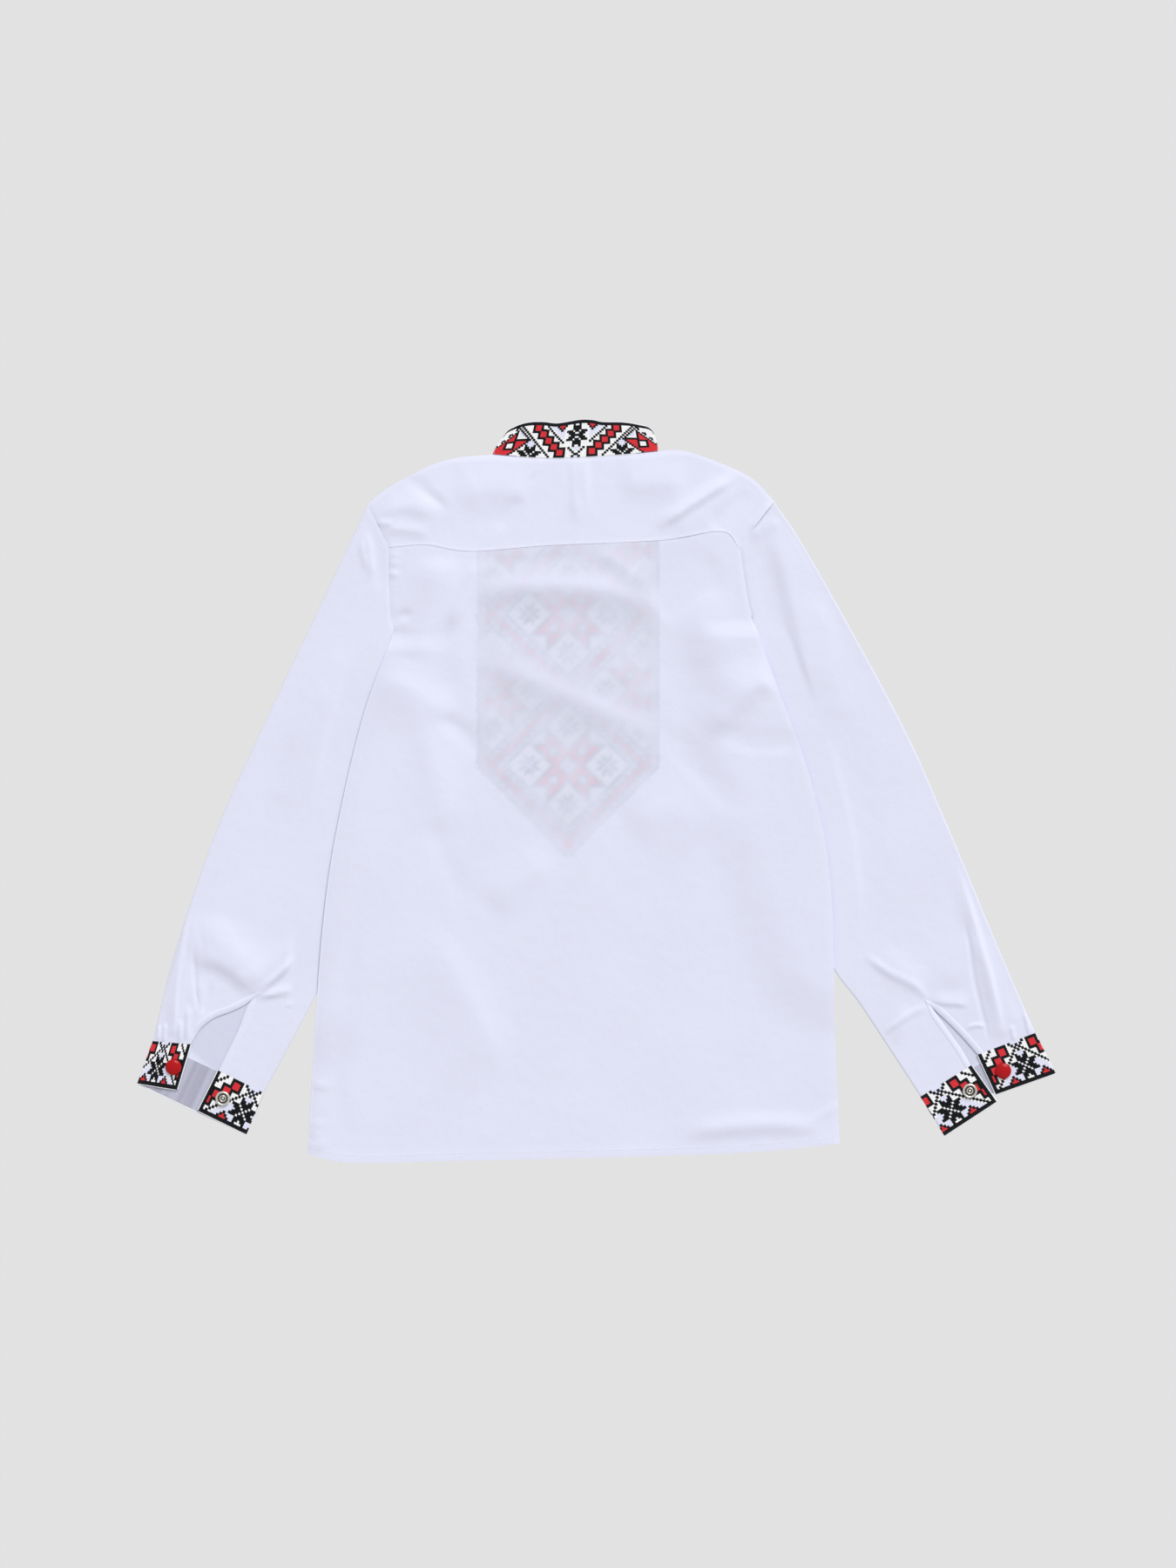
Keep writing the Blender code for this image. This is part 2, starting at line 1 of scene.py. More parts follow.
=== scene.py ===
"""The finish of a child's embroidered shirt, laid flat on its front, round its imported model.

Units are metres: +X to the right, +Y towards the collar, +Z up from the surface it lies on.
"""

import math
from collections import namedtuple

import bmesh
import bpy
import numpy as np
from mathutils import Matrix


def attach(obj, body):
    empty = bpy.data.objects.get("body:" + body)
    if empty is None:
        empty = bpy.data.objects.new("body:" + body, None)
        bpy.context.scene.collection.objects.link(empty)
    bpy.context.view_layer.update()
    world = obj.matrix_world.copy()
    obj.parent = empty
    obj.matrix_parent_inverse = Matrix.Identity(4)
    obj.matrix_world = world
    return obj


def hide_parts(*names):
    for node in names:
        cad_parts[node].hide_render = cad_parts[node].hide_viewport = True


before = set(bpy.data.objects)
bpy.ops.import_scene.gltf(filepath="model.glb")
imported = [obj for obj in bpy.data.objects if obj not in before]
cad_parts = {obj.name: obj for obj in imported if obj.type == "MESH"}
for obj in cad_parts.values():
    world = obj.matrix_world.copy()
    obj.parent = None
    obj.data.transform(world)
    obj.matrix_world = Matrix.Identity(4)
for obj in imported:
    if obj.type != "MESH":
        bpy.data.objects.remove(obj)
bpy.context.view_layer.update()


# The front panel
# One piece of white cotton from the shoulders to the hem, with a slit at the centre of its neck. It
# lies face down under everything else, so its embroidery is on the side that rests on the table.

WALL = 0.001             # the solid's wall, within which the thinner cloth lies
GAP = 0.0003             # space at seams and between layers
COTTON = 0.00045         # thickness of the cloth itself
WAVE_UNIT = 20           # Blender's wave texture turns this many radians a unit at scale 1
THREAD = 0.00034         # from one thread of the weave to the next
LOWER = WALL / 2
UPPER = LOWER + WALL + GAP
SLEEVE_LIFT = 2 * (WALL + GAP)
NECK_SLIT = 0.0008
SAME_POINT = 0.00001
SEAM_REACH = 0.0026      # cloth bends into a seam over this distance
SEAM_DIP = 0.0004

# Seam lines of the body as it lies: each row is a point, columns x and y
HEM = ((-0.2255, -0.2835), (-0.19, -0.2903), (-0.0975, -0.2885), (0.0305, -0.2855),
       (0.1215, -0.282), (0.19, -0.2755))
SIDE_LEFT = ((-0.2255, -0.2835), (-0.2205, -0.2), (-0.2135, -0.105), (-0.203, -0.032),
             (-0.182, 0.0585), (-0.158, 0.124))
SIDE_RIGHT = ((0.19, -0.2755), (0.1865, -0.192), (0.1825, -0.07), (0.167, 0.0095),
              (0.137, 0.0925), (0.122, 0.1345))
ARMHOLE_LEFT = ((-0.158, 0.124), (-0.161, 0.14), (-0.162, 0.1905))
ARMHOLE_RIGHT = ((0.122, 0.1345), (0.118, 0.15), (0.112, 0.19))
YOKE_END_LEFT = ((-0.162, 0.1905), (-0.17, 0.208), (-0.179, 0.223))
YOKE_END_RIGHT = ((0.112, 0.19), (0.125, 0.208), (0.139, 0.226))
YOKE_SEAM = ((-0.162, 0.1905), (-0.1325, 0.1925), (-0.0985, 0.1875), (-0.037, 0.192),
             (0.0495, 0.196), (0.0975, 0.203), (0.112, 0.19))
SHOULDER_LEFT = ((-0.179, 0.223), (-0.164, 0.2355), (-0.133, 0.2525), (-0.1085, 0.26),
                 (-0.0815, 0.2625))
SHOULDER_RIGHT = ((0.0485, 0.265), (0.0645, 0.266), (0.086, 0.26), (0.12, 0.245),
                  (0.139, 0.226))
NECK_BACK = ((-0.0815, 0.2625), (-0.0355, 0.2595), (0.016, 0.262), (0.0485, 0.265))
NECK_FRONT = ((-0.0815, 0.2625), (-0.067, 0.237), (-0.044, 0.211), (-0.0165, 0.201),
              (0.01, 0.212), (0.032, 0.239), (0.0485, 0.265))

# Share of the body's width that each shoulder takes along its top edge
SHOULDER_SHARE = 2 / 7

# Hidden stretch of each sleeve's inner edge, under the body, from the underarm down
TUCKED_LEFT = ((-0.169, 0.065), (-0.157, 0.035), (-0.154, 0.0), (-0.165, -0.045),
               (-0.185, -0.095))
SHOWS_LEFT = ((-0.2195, -0.161), (-0.233, -0.187))
FOLD_SEAM_LEFT = (-0.2595, -0.236)
TUCKED_RIGHT = ((0.131, 0.078), (0.127, 0.045), (0.131, 0.005), (0.146, -0.035),
                (0.163, -0.085))
SHOWS_RIGHT = ((0.184, -0.137), (0.2075, -0.1695))
FOLD_SEAM_RIGHT = (0.253, -0.239)
TUCK_SHARE = 0.085       # share of the body's side that a sleeve follows before it goes under
SIDE_CLEARANCE = 0.0005
SIDE_SHARES = (1.0, 0.8, -2.0, -5.0)     # clearances outside the body's side, on the way down it
LIFT_MARGIN = 0.019      # how the body's lift dies out round the sleeve that lies below it
LIFT_SLOPE = 0.045
LIFT_START = 0.016
def smooth(share):
    """Ease from 0 to 1."""
    share = np.clip(share, 0.0, 1.0)
    return share * share * (3.0 - 2.0 * share)


def evenly(steps, start=0.0, end=1.0):
    return np.linspace(start, end, steps + 1)


def curve(points, at, samples=24):
    """Points at the given shares of the length of a smooth line through a few points."""
    knots = np.array(points, dtype=float)
    knots = np.vstack([2 * knots[0] - knots[1], knots, 2 * knots[-1] - knots[-2]])
    dense = []
    for a, b, c, d in zip(knots[:-3], knots[1:-2], knots[2:-1], knots[3:]):
        for t in np.linspace(0.0, 1.0, samples, endpoint=False):
            dense.append(0.5 * (2 * b + (c - a) * t + (2 * a - 5 * b + 4 * c - d) * t ** 2
                                + (3 * b - a - 3 * c + d) * t ** 3))
    dense = np.array(dense + [knots[-2]])
    return along(dense, at)


def steps_along(line):
    return np.linalg.norm(np.diff(line, axis=0), axis=1)


def unit(vectors):
    return vectors / np.linalg.norm(vectors, axis=-1, keepdims=True)


def along(line, at):
    """Points at the given shares of a line's length."""
    length = np.append(0.0, np.cumsum(steps_along(line)))
    wanted = np.asarray(at) * length[-1]
    return np.column_stack([np.interp(wanted, length, column) for column in line.T])


def join(*lines):
    """Lines end to end, with each shared end kept once."""
    return np.vstack([lines[0]] + [line[1:] for line in lines[1:]])


def coons(bottom, top, left, right, u, v):
    """Grid of plan points, rows from bottom to top, filling four edges that share their corners."""
    u, v = u[None, :, None], v[:, None, None]
    ruled = (1 - v) * bottom[None] + v * top[None] + (1 - u) * left[:, None] + u * right[:, None]
    corners = ((1 - v) * ((1 - u) * bottom[0] + u * bottom[-1])
               + v * ((1 - u) * top[0] + u * top[-1]))
    return ruled - corners


def nearest(plan, path):
    """Distance of each plan point from a line, the side it is on and the share of the line there."""
    path = np.asarray(path, dtype=float)
    start, step = path[:-1], np.diff(path, axis=0)
    offset = plan[..., None, :] - start
    share = np.clip((offset * step).sum(-1) / (step * step).sum(-1), 0.0, 1.0)
    away = np.linalg.norm(offset - share[..., None] * step, axis=-1)
    closest = away.argmin(-1)[..., None]
    turn = step[:, 0] * offset[..., 1] - step[:, 1] * offset[..., 0]
    done = (np.take_along_axis(share, closest, -1) + closest)[..., 0] / len(step)
    return (np.take_along_axis(away, closest, -1)[..., 0],
            np.take_along_axis(turn, closest, -1)[..., 0] > 0, done)


def distance(plan, path):
    return nearest(plan, path)[0]


def inside(plan, outline):
    """Whether each plan point lies inside a closed outline."""
    x, y = plan[..., 0], plan[..., 1]
    crossings = np.zeros(x.shape, dtype=int)
    for (ax, ay), (bx, by) in zip(outline, np.roll(outline, -1, axis=0)):
        spans = (ay > y) != (by > y)
        rise = by - ay if by != ay else 1.0
        crossings += spans & (x < (bx - ax) * (y - ay) / rise + ax)
    return crossings % 2 == 1


def inset(grid, left=0.0, right=0.0, first=0.0, last=0.0, reach=0.012):
    """Draw a plan grid's sides in along its rows, easing out over a reach, and its ends square."""
    result = grid.copy()
    for amount, rows in ((left, grid), (right, grid[:, ::-1])):
        inwards = unit(rows[:, 1] - rows[:, 0])
        far = np.linalg.norm(rows - rows[:, :1], axis=2)
        ease = np.clip(1 - far / reach, 0.0, 1.0)[..., None]
        moved = amount * ease * inwards[:, None]
        result += moved if rows is grid else moved[:, ::-1]
    for amount, edge, inner in ((first, 0, 1), (last, -1, -2)):
        square = sideways(grid[edge])
        if (square * (grid[inner] - grid[edge])).sum() < 0:
            square = -square
        result[edge] += amount * square
    return result


def sideways(line):
    """Unit vectors to the left of a line's direction of travel."""
    run = unit(np.gradient(line, axis=0))
    return np.column_stack([-run[:, 1], run[:, 0]])


def with_height(plan, height):
    return np.dstack([plan, np.broadcast_to(height, plan.shape[:-1])])


def seam_curl(plan, *seams):
    """1 at the seams, dying out over the distance in which cloth bends into them."""
    return 1 - smooth(np.min([distance(plan, seam) for seam in seams], axis=0) / SEAM_REACH)


def hidden_edge(tucked, shows, fold_seam, side, outwards):
    """Inner edge of a sleeve: down the body's side, then under the body and out to the cuff."""
    follows = curve(side[::-1], evenly(3, end=TUCK_SHARE))
    follows[:, 0] += outwards * SIDE_CLEARANCE * np.array(SIDE_SHARES)
    return [*follows, *tucked, *shows, fold_seam]


INNER_LEFT = hidden_edge(TUCKED_LEFT, SHOWS_LEFT, FOLD_SEAM_LEFT, SIDE_LEFT, -1)
INNER_RIGHT = hidden_edge(TUCKED_RIGHT, SHOWS_RIGHT, FOLD_SEAM_RIGHT, SIDE_RIGHT, 1)


def body_lift(plan, slope=LIFT_SLOPE):
    """Height by which the sleeves below raise the body's two layers."""
    lift = np.zeros(plan.shape[:-1])
    for inner, shows, side in ((INNER_LEFT, SHOWS_LEFT, SIDE_LEFT),
                               (INNER_RIGHT, SHOWS_RIGHT, SIDE_RIGHT)):
        hidden = curve(inner, evenly(60))
        top = side[-1][1]
        hidden = hidden[(hidden[:, 1] < top - LIFT_START) & (hidden[:, 1] > shows[0][1])]
        edge = curve(side, evenly(28))
        edge = edge[(edge[:, 1] < hidden[0, 1]) & (edge[:, 1] > hidden[-1, 1])]
        outline = np.vstack([hidden, edge])
        away = distance(plan, np.vstack([outline, outline[:1]]))
        away[inside(plan, outline)] = 0.0
        near = 1 - smooth((away - LIFT_MARGIN) / slope)
        below_arm = smooth((top - plan[..., 1]) / LIFT_START)
        lift = np.maximum(lift, SLEEVE_LIFT * near * below_arm)
    return lift


def feed(shade, node, inputs):
    """Gives each named input of a material's node its value, or the socket that feeds it."""
    for name, value in inputs.items():
        if isinstance(value, bpy.types.NodeSocket):
            shade.node_tree.links.new(value, node.inputs[name])
        else:
            node.inputs[name].default_value = value


def add_node(shade, kind, inputs, **settings):
    node = shade.node_tree.nodes.new("ShaderNode" + kind)
    for setting, value in settings.items():
        setattr(node, setting, value)
    feed(shade, node, inputs)
    return node


def new_material(name, inputs):
    """A material with its shader's inputs, that shader, and the place that its patterns are set by."""
    shade = bpy.data.materials.new(name)
    shade.use_nodes = True
    shader = shade.node_tree.nodes["Principled BSDF"]
    feed(shade, shader, inputs)
    return shade, shader, add_node(shade, "TexCoord", {}).outputs["Object"]


def mottled(shade, place, color, noise, low, high):
    """A colour that wanders between a lower and a higher tone of itself."""
    tone = add_node(shade, "TexNoise", {**noise, "Vector": place})
    return add_node(shade, "Mix", {
        "A": (*[channel * low for channel in color], 1.0),
        "B": (*[min(1.0, channel * high) for channel in color], 1.0),
        "Factor": tone.outputs["Fac"]}, data_type="RGBA").outputs["Result"]


def woven_material(name, color, below=None):
    """Plain-woven cotton: two sets of fine threads, a slight unevenness of tone and a soft sheen."""
    shade, shader, place = new_material(name, {
        "Roughness": 0.88, "Specular IOR Level": 0.25, "Sheen Weight": 0.25, "Sheen Roughness": 0.6})
    threads = [add_node(shade, "TexWave", {
        "Scale": math.tau / (WAVE_UNIT * THREAD), "Distortion": 0.6, "Detail": 1.0, "Vector": place},
        bands_direction=direction).outputs["Fac"] for direction in ("X", "Y")]
    woven = add_node(shade, "Math", dict(enumerate(threads)), operation="MULTIPLY")
    crumple = add_node(shade, "TexNoise", {"Scale": 95.0, "Detail": 4.0, "Vector": place})
    soft = add_node(shade, "Bump", {
        "Strength": 0.35, "Distance": 0.0009, "Height": crumple.outputs["Fac"]})
    bump = add_node(shade, "Bump", {
        "Strength": 0.25, "Distance": 0.00008, "Height": woven.outputs["Value"],
        "Normal": soft.outputs["Normal"]})
    tone = mottled(shade, place, color, {"Scale": 14.0, "Detail": 3.0}, 0.965, 1.02)
    # The point tint multiplies the colour: embroidery showing through on the back, painted shade on
    # the insides of sleeves and cuffs
    if below:
        tint = add_node(shade, "Attribute", {}, attribute_name=below)
        tone = add_node(shade, "Mix", {"Factor": 1.0, "A": tone, "B": tint.outputs["Color"]},
                        data_type="RGBA", blend_type="MULTIPLY").outputs["Result"]
    feed(shade, shader, {"Base Color": tone, "Normal": bump.outputs["Normal"]})
    return shade


COTTON_COLOR = (0.76, 0.775, 0.93)
cotton = woven_material("white_cotton", COTTON_COLOR)


def new_mesh(name, points, faces):
    mesh = bpy.data.meshes.new(name)
    mesh.from_pydata(points, [], faces)
    return mesh


def grid_mesh(name, points, closed=False, cut_column=None):
    """A mesh on a grid of points, rows by columns, with shared points merged.

    A closed grid joins its last column to its first. At the cut column it is open wherever the two
    columns stand apart.
    """
    rows, columns = points.shape[:2]
    index = np.arange(rows * columns).reshape(rows, columns)
    after = np.roll(index, -1, axis=1)
    quads = np.stack([index[:-1], after[:-1], after[1:], index[1:]], axis=-1)
    keep = [c for c in range(columns if closed else columns - 1) if c != cut_column]
    mesh = new_mesh(name, points.reshape(-1, 3).tolist(), quads[:, keep].reshape(-1, 4).tolist())
    mesh.shade_smooth()
    shape = bmesh.new()
    shape.from_mesh(mesh)
    bmesh.ops.remove_doubles(shape, verts=shape.verts, dist=SAME_POINT)
    for edge in shape.edges:
        edge.smooth = not edge.is_boundary
    shape.to_mesh(mesh)
    shape.free()
    return mesh


def placed(name, data):
    """An object put into the scene."""
    obj = bpy.data.objects.new(name, data)
    bpy.context.scene.collection.objects.link(obj)
    return obj


def piece(name, mesh, shade, replaces=()):
    """A named piece that rides on the shirt and stands for some of its solids."""
    obj = placed(name, mesh)
    mesh.materials.append(shade)
    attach(obj, "root")
    if replaces:
        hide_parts(*replaces)
    return obj


def cloth(name, points, node, shade=cotton, slot="cotton", thickness=COTTON, **grid):
    """A shell of cloth on a grid of points, standing for one solid."""
    obj = piece(name, grid_mesh(name, points, **grid), shade, [node])
    wall = obj.modifiers.new("Thickness", "SOLIDIFY")
    wall.thickness = thickness
    wall.offset = 0.0
    return obj


def body_lines(u, shoulder_columns, rows_below, rows_beside, rows_yoke):
    """Seam lines of the body from left to right, at shares u, and from hem to shoulder."""
    lines = {
        "hem": curve(HEM, u),
        "side_left": curve(SIDE_LEFT, rows_below),
        "side_right": curve(SIDE_RIGHT, rows_below),
        "arm_left": curve(ARMHOLE_LEFT, rows_beside),
        "arm_right": curve(ARMHOLE_RIGHT, rows_beside),
        "end_left": curve(YOKE_END_LEFT, rows_yoke),
        "end_right": curve(YOKE_END_RIGHT, rows_yoke),
        "yoke_seam": curve(YOKE_SEAM, u),
    }
    lines["chest"] = ((1 - u[:, None]) * lines["side_left"][-1] + u[:, None] * lines["side_right"][-1])
    neck_columns = len(u) - 1 - 2 * shoulder_columns
    shoulders = [curve(SHOULDER_LEFT, evenly(shoulder_columns)),
                 curve(SHOULDER_RIGHT, evenly(shoulder_columns))]
    for side, neck in (("back", NECK_BACK), ("front", NECK_FRONT)):
        lines["neck_" + side] = curve(neck, evenly(neck_columns))
        lines["top_" + side] = join(shoulders[0], lines["neck_" + side], shoulders[1])
    return lines


FRONT_COLUMNS = 112      # a multiple of 14, so that both shoulders take whole columns
FRONT_ROWS = 112
FRONT_CHEST_ROWS = 16
FRONT_YOKE_ROWS = 16
SLIT_ROWS_BELOW_CHEST = FRONT_ROWS // 4

front_u = evenly(FRONT_COLUMNS)
front_v = evenly(FRONT_ROWS)
upper_v = evenly(FRONT_CHEST_ROWS + FRONT_YOKE_ROWS)
seams = body_lines(front_u, round(FRONT_COLUMNS * SHOULDER_SHARE), front_v,
                   evenly(FRONT_CHEST_ROWS), evenly(FRONT_YOKE_ROWS))
front = np.vstack([
    coons(seams["hem"], seams["chest"], seams["side_left"], seams["side_right"], front_u, front_v),
    coons(seams["chest"], seams["top_front"], join(seams["arm_left"], seams["end_left"]),
          join(seams["arm_right"], seams["end_right"]), front_u, upper_v)[1:]])
front = inset(front, left=GAP / 2, right=GAP / 2, last=GAP / 2)
middle = FRONT_COLUMNS // 2
slit_rows = np.s_[FRONT_ROWS - SLIT_ROWS_BELOW_CHEST:]
slit_line = front[slit_rows, middle]
halves = [front[:, :middle + 1].copy(), front[:, middle:].copy()]
halves[0][slit_rows, -1, 0] -= NECK_SLIT / 2
halves[1][slit_rows, 0, 0] += NECK_SLIT / 2
front = np.hstack(halves)
body_sides = [seams["side_left"], seams["side_right"], seams["arm_left"], seams["arm_right"],
              seams["end_left"], seams["end_right"]]
height = LOWER + body_lift(front) + SEAM_DIP * seam_curl(front, *body_sides)
front_panel = cloth("front_panel_cloth", with_height(front, height), "front_panel", cut_column=middle)

# Its embroidery: cross stitch over a panel as wide as the chest, pointed at the bottom. The design
# repeats in diamonds edged with chains of small squares, each with four arrows and four stars.
BARE, WHITE, BLACK, RED = range(4)
CELL = 0.0016            # one cross stitch on the front
PANEL_MIDDLE = -0.022
PANEL_TOP = 0.24
PANEL_YOKE = 0.191       # level of the yoke's seam, from which the stitches are counted
PANEL_HALF_WIDTH = 44    # in stitches, as are the sizes below
PANEL_POINT = 152        # sum of stitches across and down at the slanted edges of the point
REPEAT = 74              # from one diamond to the next
FIRST_DIAMOND = 33
STAR_PLACE = 19          # from a diamond's middle to its stars
STAR_ARM = 5
STAR_HEART = 2
SQUARE_STEP = 3
TIP_TRIANGLE = 4
FLOSS_RISE = 0.00007     # height of one leg of a cross stitch over the leg or cloth below
FLOSS_WIDTH = 0.42       # share of a cell's width
FLOSS_SPREAD = {WHITE: (1.0, 0.5), RED: (1.06, 1.0), BLACK: (1.24, 2.2)}     # width, and height
FLOSS_END = 0.06         # a leg stops short of its cell's corners by this share


def star(across, down):
    """An eight-pointed star with a cross of bare stitches in its heart."""
    low = np.minimum(np.abs(across), np.abs(down))
    high = np.maximum(np.abs(across), np.abs(down))
    arms = (low <= STAR_HEART) & (high <= STAR_ARM) & (low >= high - STAR_HEART - 1)
    return arms & ~((low == high) & (high <= STAR_HEART))


def block(across, down, reach):
    return np.maximum(np.abs(across), np.abs(down)) <= reach


def diamond(across, down, reach):
    return np.abs(across) + np.abs(down) <= reach


def framed_squares(chart, across, down, centres):
    """A chain of red squares that touch at their corners, each in a black frame."""
    for reach, color in ((2, BLACK), (1, RED)):
        for column, row in centres:
            chart[block(across - column, down - row, reach)] = color


def arrow_half(chart, x, y):
    """One of the four red arrows round a diamond's middle, with its notch and its small square."""
    edge = np.abs(x - y)
    notch = (x > 9) & (y > 9)
    chart[(x >= 12) & (y >= 12) & (x + y <= 28)] = BARE
    body = (edge <= 7) & (x + y >= 5) & (x + y <= 27) & ~((x > 10) & (y > 10))
    chart[body] = BLACK
    chart[body & (edge <= 6) & (x + y >= 6) & (x + y <= 26) & ~notch] = RED
    chart[block(x - 7, y - 7, 2)] = BLACK
    chart[block(x - 7, y - 7, 1)] = WHITE


def panel_chart(across, down):
    """Stitches of the front panel; across is counted from its middle, down from the yoke's seam."""
    across, down = np.broadcast_arrays(np.abs(across), down)
    half = REPEAT // 2
    x = np.abs((across + half) % REPEAT - half)
    y = np.abs((down - FIRST_DIAMOND + half) % REPEAT - half)
    other = x + y > half
    x, y = np.where(other, half - x, x), np.where(other, half - y, y)
    chart = np.full(across.shape, WHITE)
    arrow_half(chart, x, y)
    for place_x, place_y in ((STAR_PLACE, 0), (0, STAR_PLACE)):
        dx, dy = x - place_x, y - place_y
        chart[diamond(dx, dy, 11)] = BLACK
        chart[diamond(dx, dy, 10)] = BARE
        chart[star(dx, dy)] = BLACK
    chart[x + y == 31] = BLACK
    squares = range(0, half + SQUARE_STEP, SQUARE_STEP)
    framed_squares(chart, x, y, [(column, half - column) for column in squares])
    falling = across + down
    edge = np.minimum(PANEL_HALF_WIDTH - across, PANEL_POINT - falling)
    tip = (falling <= PANEL_POINT - 4) & (down > PANEL_POINT - 4 - TIP_TRIANGLE)
    chart[(edge > 0) & (edge < 4)] = WHITE
    chart[tip] = RED
    chart[edge == 0] = BLACK
    chart[edge < 0] = BARE
    return chart, edge >= 0


def floss_material(name, color):
    """Six-strand cotton floss: a soft gloss and fine strands."""
    shade, shader, place = new_material(name, {
        "Roughness": 0.55, "Specular IOR Level": 0.15, "Sheen Weight": 0.15})
    strands = add_node(shade, "TexNoise", {"Scale": 2600.0, "Vector": place})
    bump = add_node(shade, "Bump", {
        "Strength": 0.3, "Distance": 0.00008, "Height": strands.outputs["Fac"]})
    tone = mottled(shade, place, color, {"Scale": 420.0}, 0.92, 1.08)
    feed(shade, shader, {"Base Color": tone, "Normal": bump.outputs["Normal"]})
    return shade


FLOSS = {
    WHITE: ("white", floss_material("white_floss", (0.97, 0.97, 0.99))),
    BLACK: ("black", floss_material("black_floss", (0.007, 0.008, 0.011))),
    RED: ("red", floss_material("red_floss", (0.74, 0.03, 0.042))),
}


def cross_stitches(name, corners, chart):
    """Stitches over the cells of a chart, one piece for each colour.

    Corners is the grid of the cells' corners in space, and its rows and columns turn so that the
    stitches stand on the outer side. Each stitch is a flat ground and two crossing legs.
    """
    a, b, c, d = corners[:-1, :-1], corners[:-1, 1:], corners[1:, 1:], corners[1:, :-1]
    out = unit(np.cross(b - a, d - a))
    made = []
    for color, (word, shade) in FLOSS.items():
        pick = chart == color
        rise = out[pick] * FLOSS_RISE
        spread, lift = FLOSS_SPREAD[color]
        centre = (a[pick] + b[pick] + c[pick] + d[pick]) / 4
        ground = [centre + spread * (corner[pick] - centre) + lift * rise for corner in (a, b, c, d)]
        points, faces = [np.stack(ground, axis=1)], [((0, 1, 2, 3),)]
        for order, (start, end) in enumerate(((a, c), (b, d))):
            start, end = start[pick] + order * rise, end[pick] + order * rise
            run = end - start
            start, end = start + FLOSS_END * run, end - FLOSS_END * run
            side = np.cross(rise, run)
            side *= FLOSS_WIDTH / 2 * np.linalg.norm(run, axis=1, keepdims=True) / math.sqrt(2) \
                / np.linalg.norm(side, axis=1, keepdims=True)
            points.append(np.stack([start - side, start + side, start + 2 * rise,
                                    end - side, end + side, end + 2 * rise], axis=1))
            faces.append(((0, 3, 5, 2), (2, 5, 4, 1)))
        vertices, quads, base = [], [], 0
        for group, group_faces in zip(points, faces):
            count, corners_each = group.shape[:2]
            first = base + np.arange(count)[:, None, None] * corners_each
            quads.append((first + np.array(group_faces)[None]).reshape(-1, 4))
            vertices.append(group.reshape(-1, 3))
            base += count * corners_each
        mesh = new_mesh(name + "_" + word, np.vstack(vertices).tolist(), np.vstack(quads).tolist())
        made.append(piece(name + "_" + word, mesh, shade))
    return made


def panel_stitch(plan):
    """Stitches across and down from the front panel's middle and the yoke's seam."""
    return (plan[..., 0] - PANEL_MIDDLE) / CELL, (PANEL_YOKE - plan[..., 1]) / CELL


panel_left = PANEL_MIDDLE - (PANEL_HALF_WIDTH + 0.5) * CELL
panel_columns = 2 * PANEL_HALF_WIDTH + 1
first_row = round((PANEL_YOKE - PANEL_TOP) / CELL)
rows = np.arange(first_row, PANEL_POINT + 1)
corner_x = panel_left + np.arange(panel_columns + 1) * CELL
corner_y = PANEL_YOKE - (np.append(rows, rows[-1] + 1) - 0.5) * CELL
plan = np.dstack(np.meshgrid(corner_x, corner_y))
chart, covered = panel_chart(np.arange(panel_columns) - PANEL_HALF_WIDTH, rows[:, None])
cells = (plan[:-1, :-1] + plan[1:, 1:]) / 2
neckline = curve(NECK_FRONT, evenly(60))
far = 1.0
shirt_below = [(far, neckline[-1][1]), (far, -far), (-far, -far), (-far, neckline[0][1])]
below_neck = inside(cells, np.vstack([neckline, shirt_below]))
clear = below_neck & (distance(cells, neckline) > 2 * CELL) & (distance(cells, slit_line) > CELL)
chart[~clear] = BARE
under_side = LOWER + body_lift(plan) - COTTON / 2
cross_stitches("front_embroidery", with_height(plan, under_side), chart)


# The back panel
# One piece of the same cotton from the yoke's seam to the hem, sewn to the front at both sides. It
# lies on the front panel and on the tucked parts of the sleeves, so it shows their shapes and the
# embroidery through the thin cloth. Its hem is turned up and topstitched.

HEM_TURN = 0.0058        # from the hem's fold to its row of topstitching
HEM_THICKER = 0.0003
TOP_DIP = 0.00015        # at the yoke's seam it lies nearly level with the yoke's edge
TOP_FOLDS = 0.3          # share of its folds' height that is left there
LEFT_ROLL = 0.0008       # the left side lies a little lower at its edge
LEFT_ROLL_REACH = 0.016
EDGE_FADE = 0.018        # large folds die out over this distance from a sewn or folded edge
TAPER = 0.3              # share of a crease's length over which each end dies out
TOP_STITCH = 0.0021
TOP_STITCH_STEP = 0.0029
TOP_STITCH_WIDTH = 0.0004
TOP_STITCH_CROWN = 0.6   # height of a stitch, as a share of its width

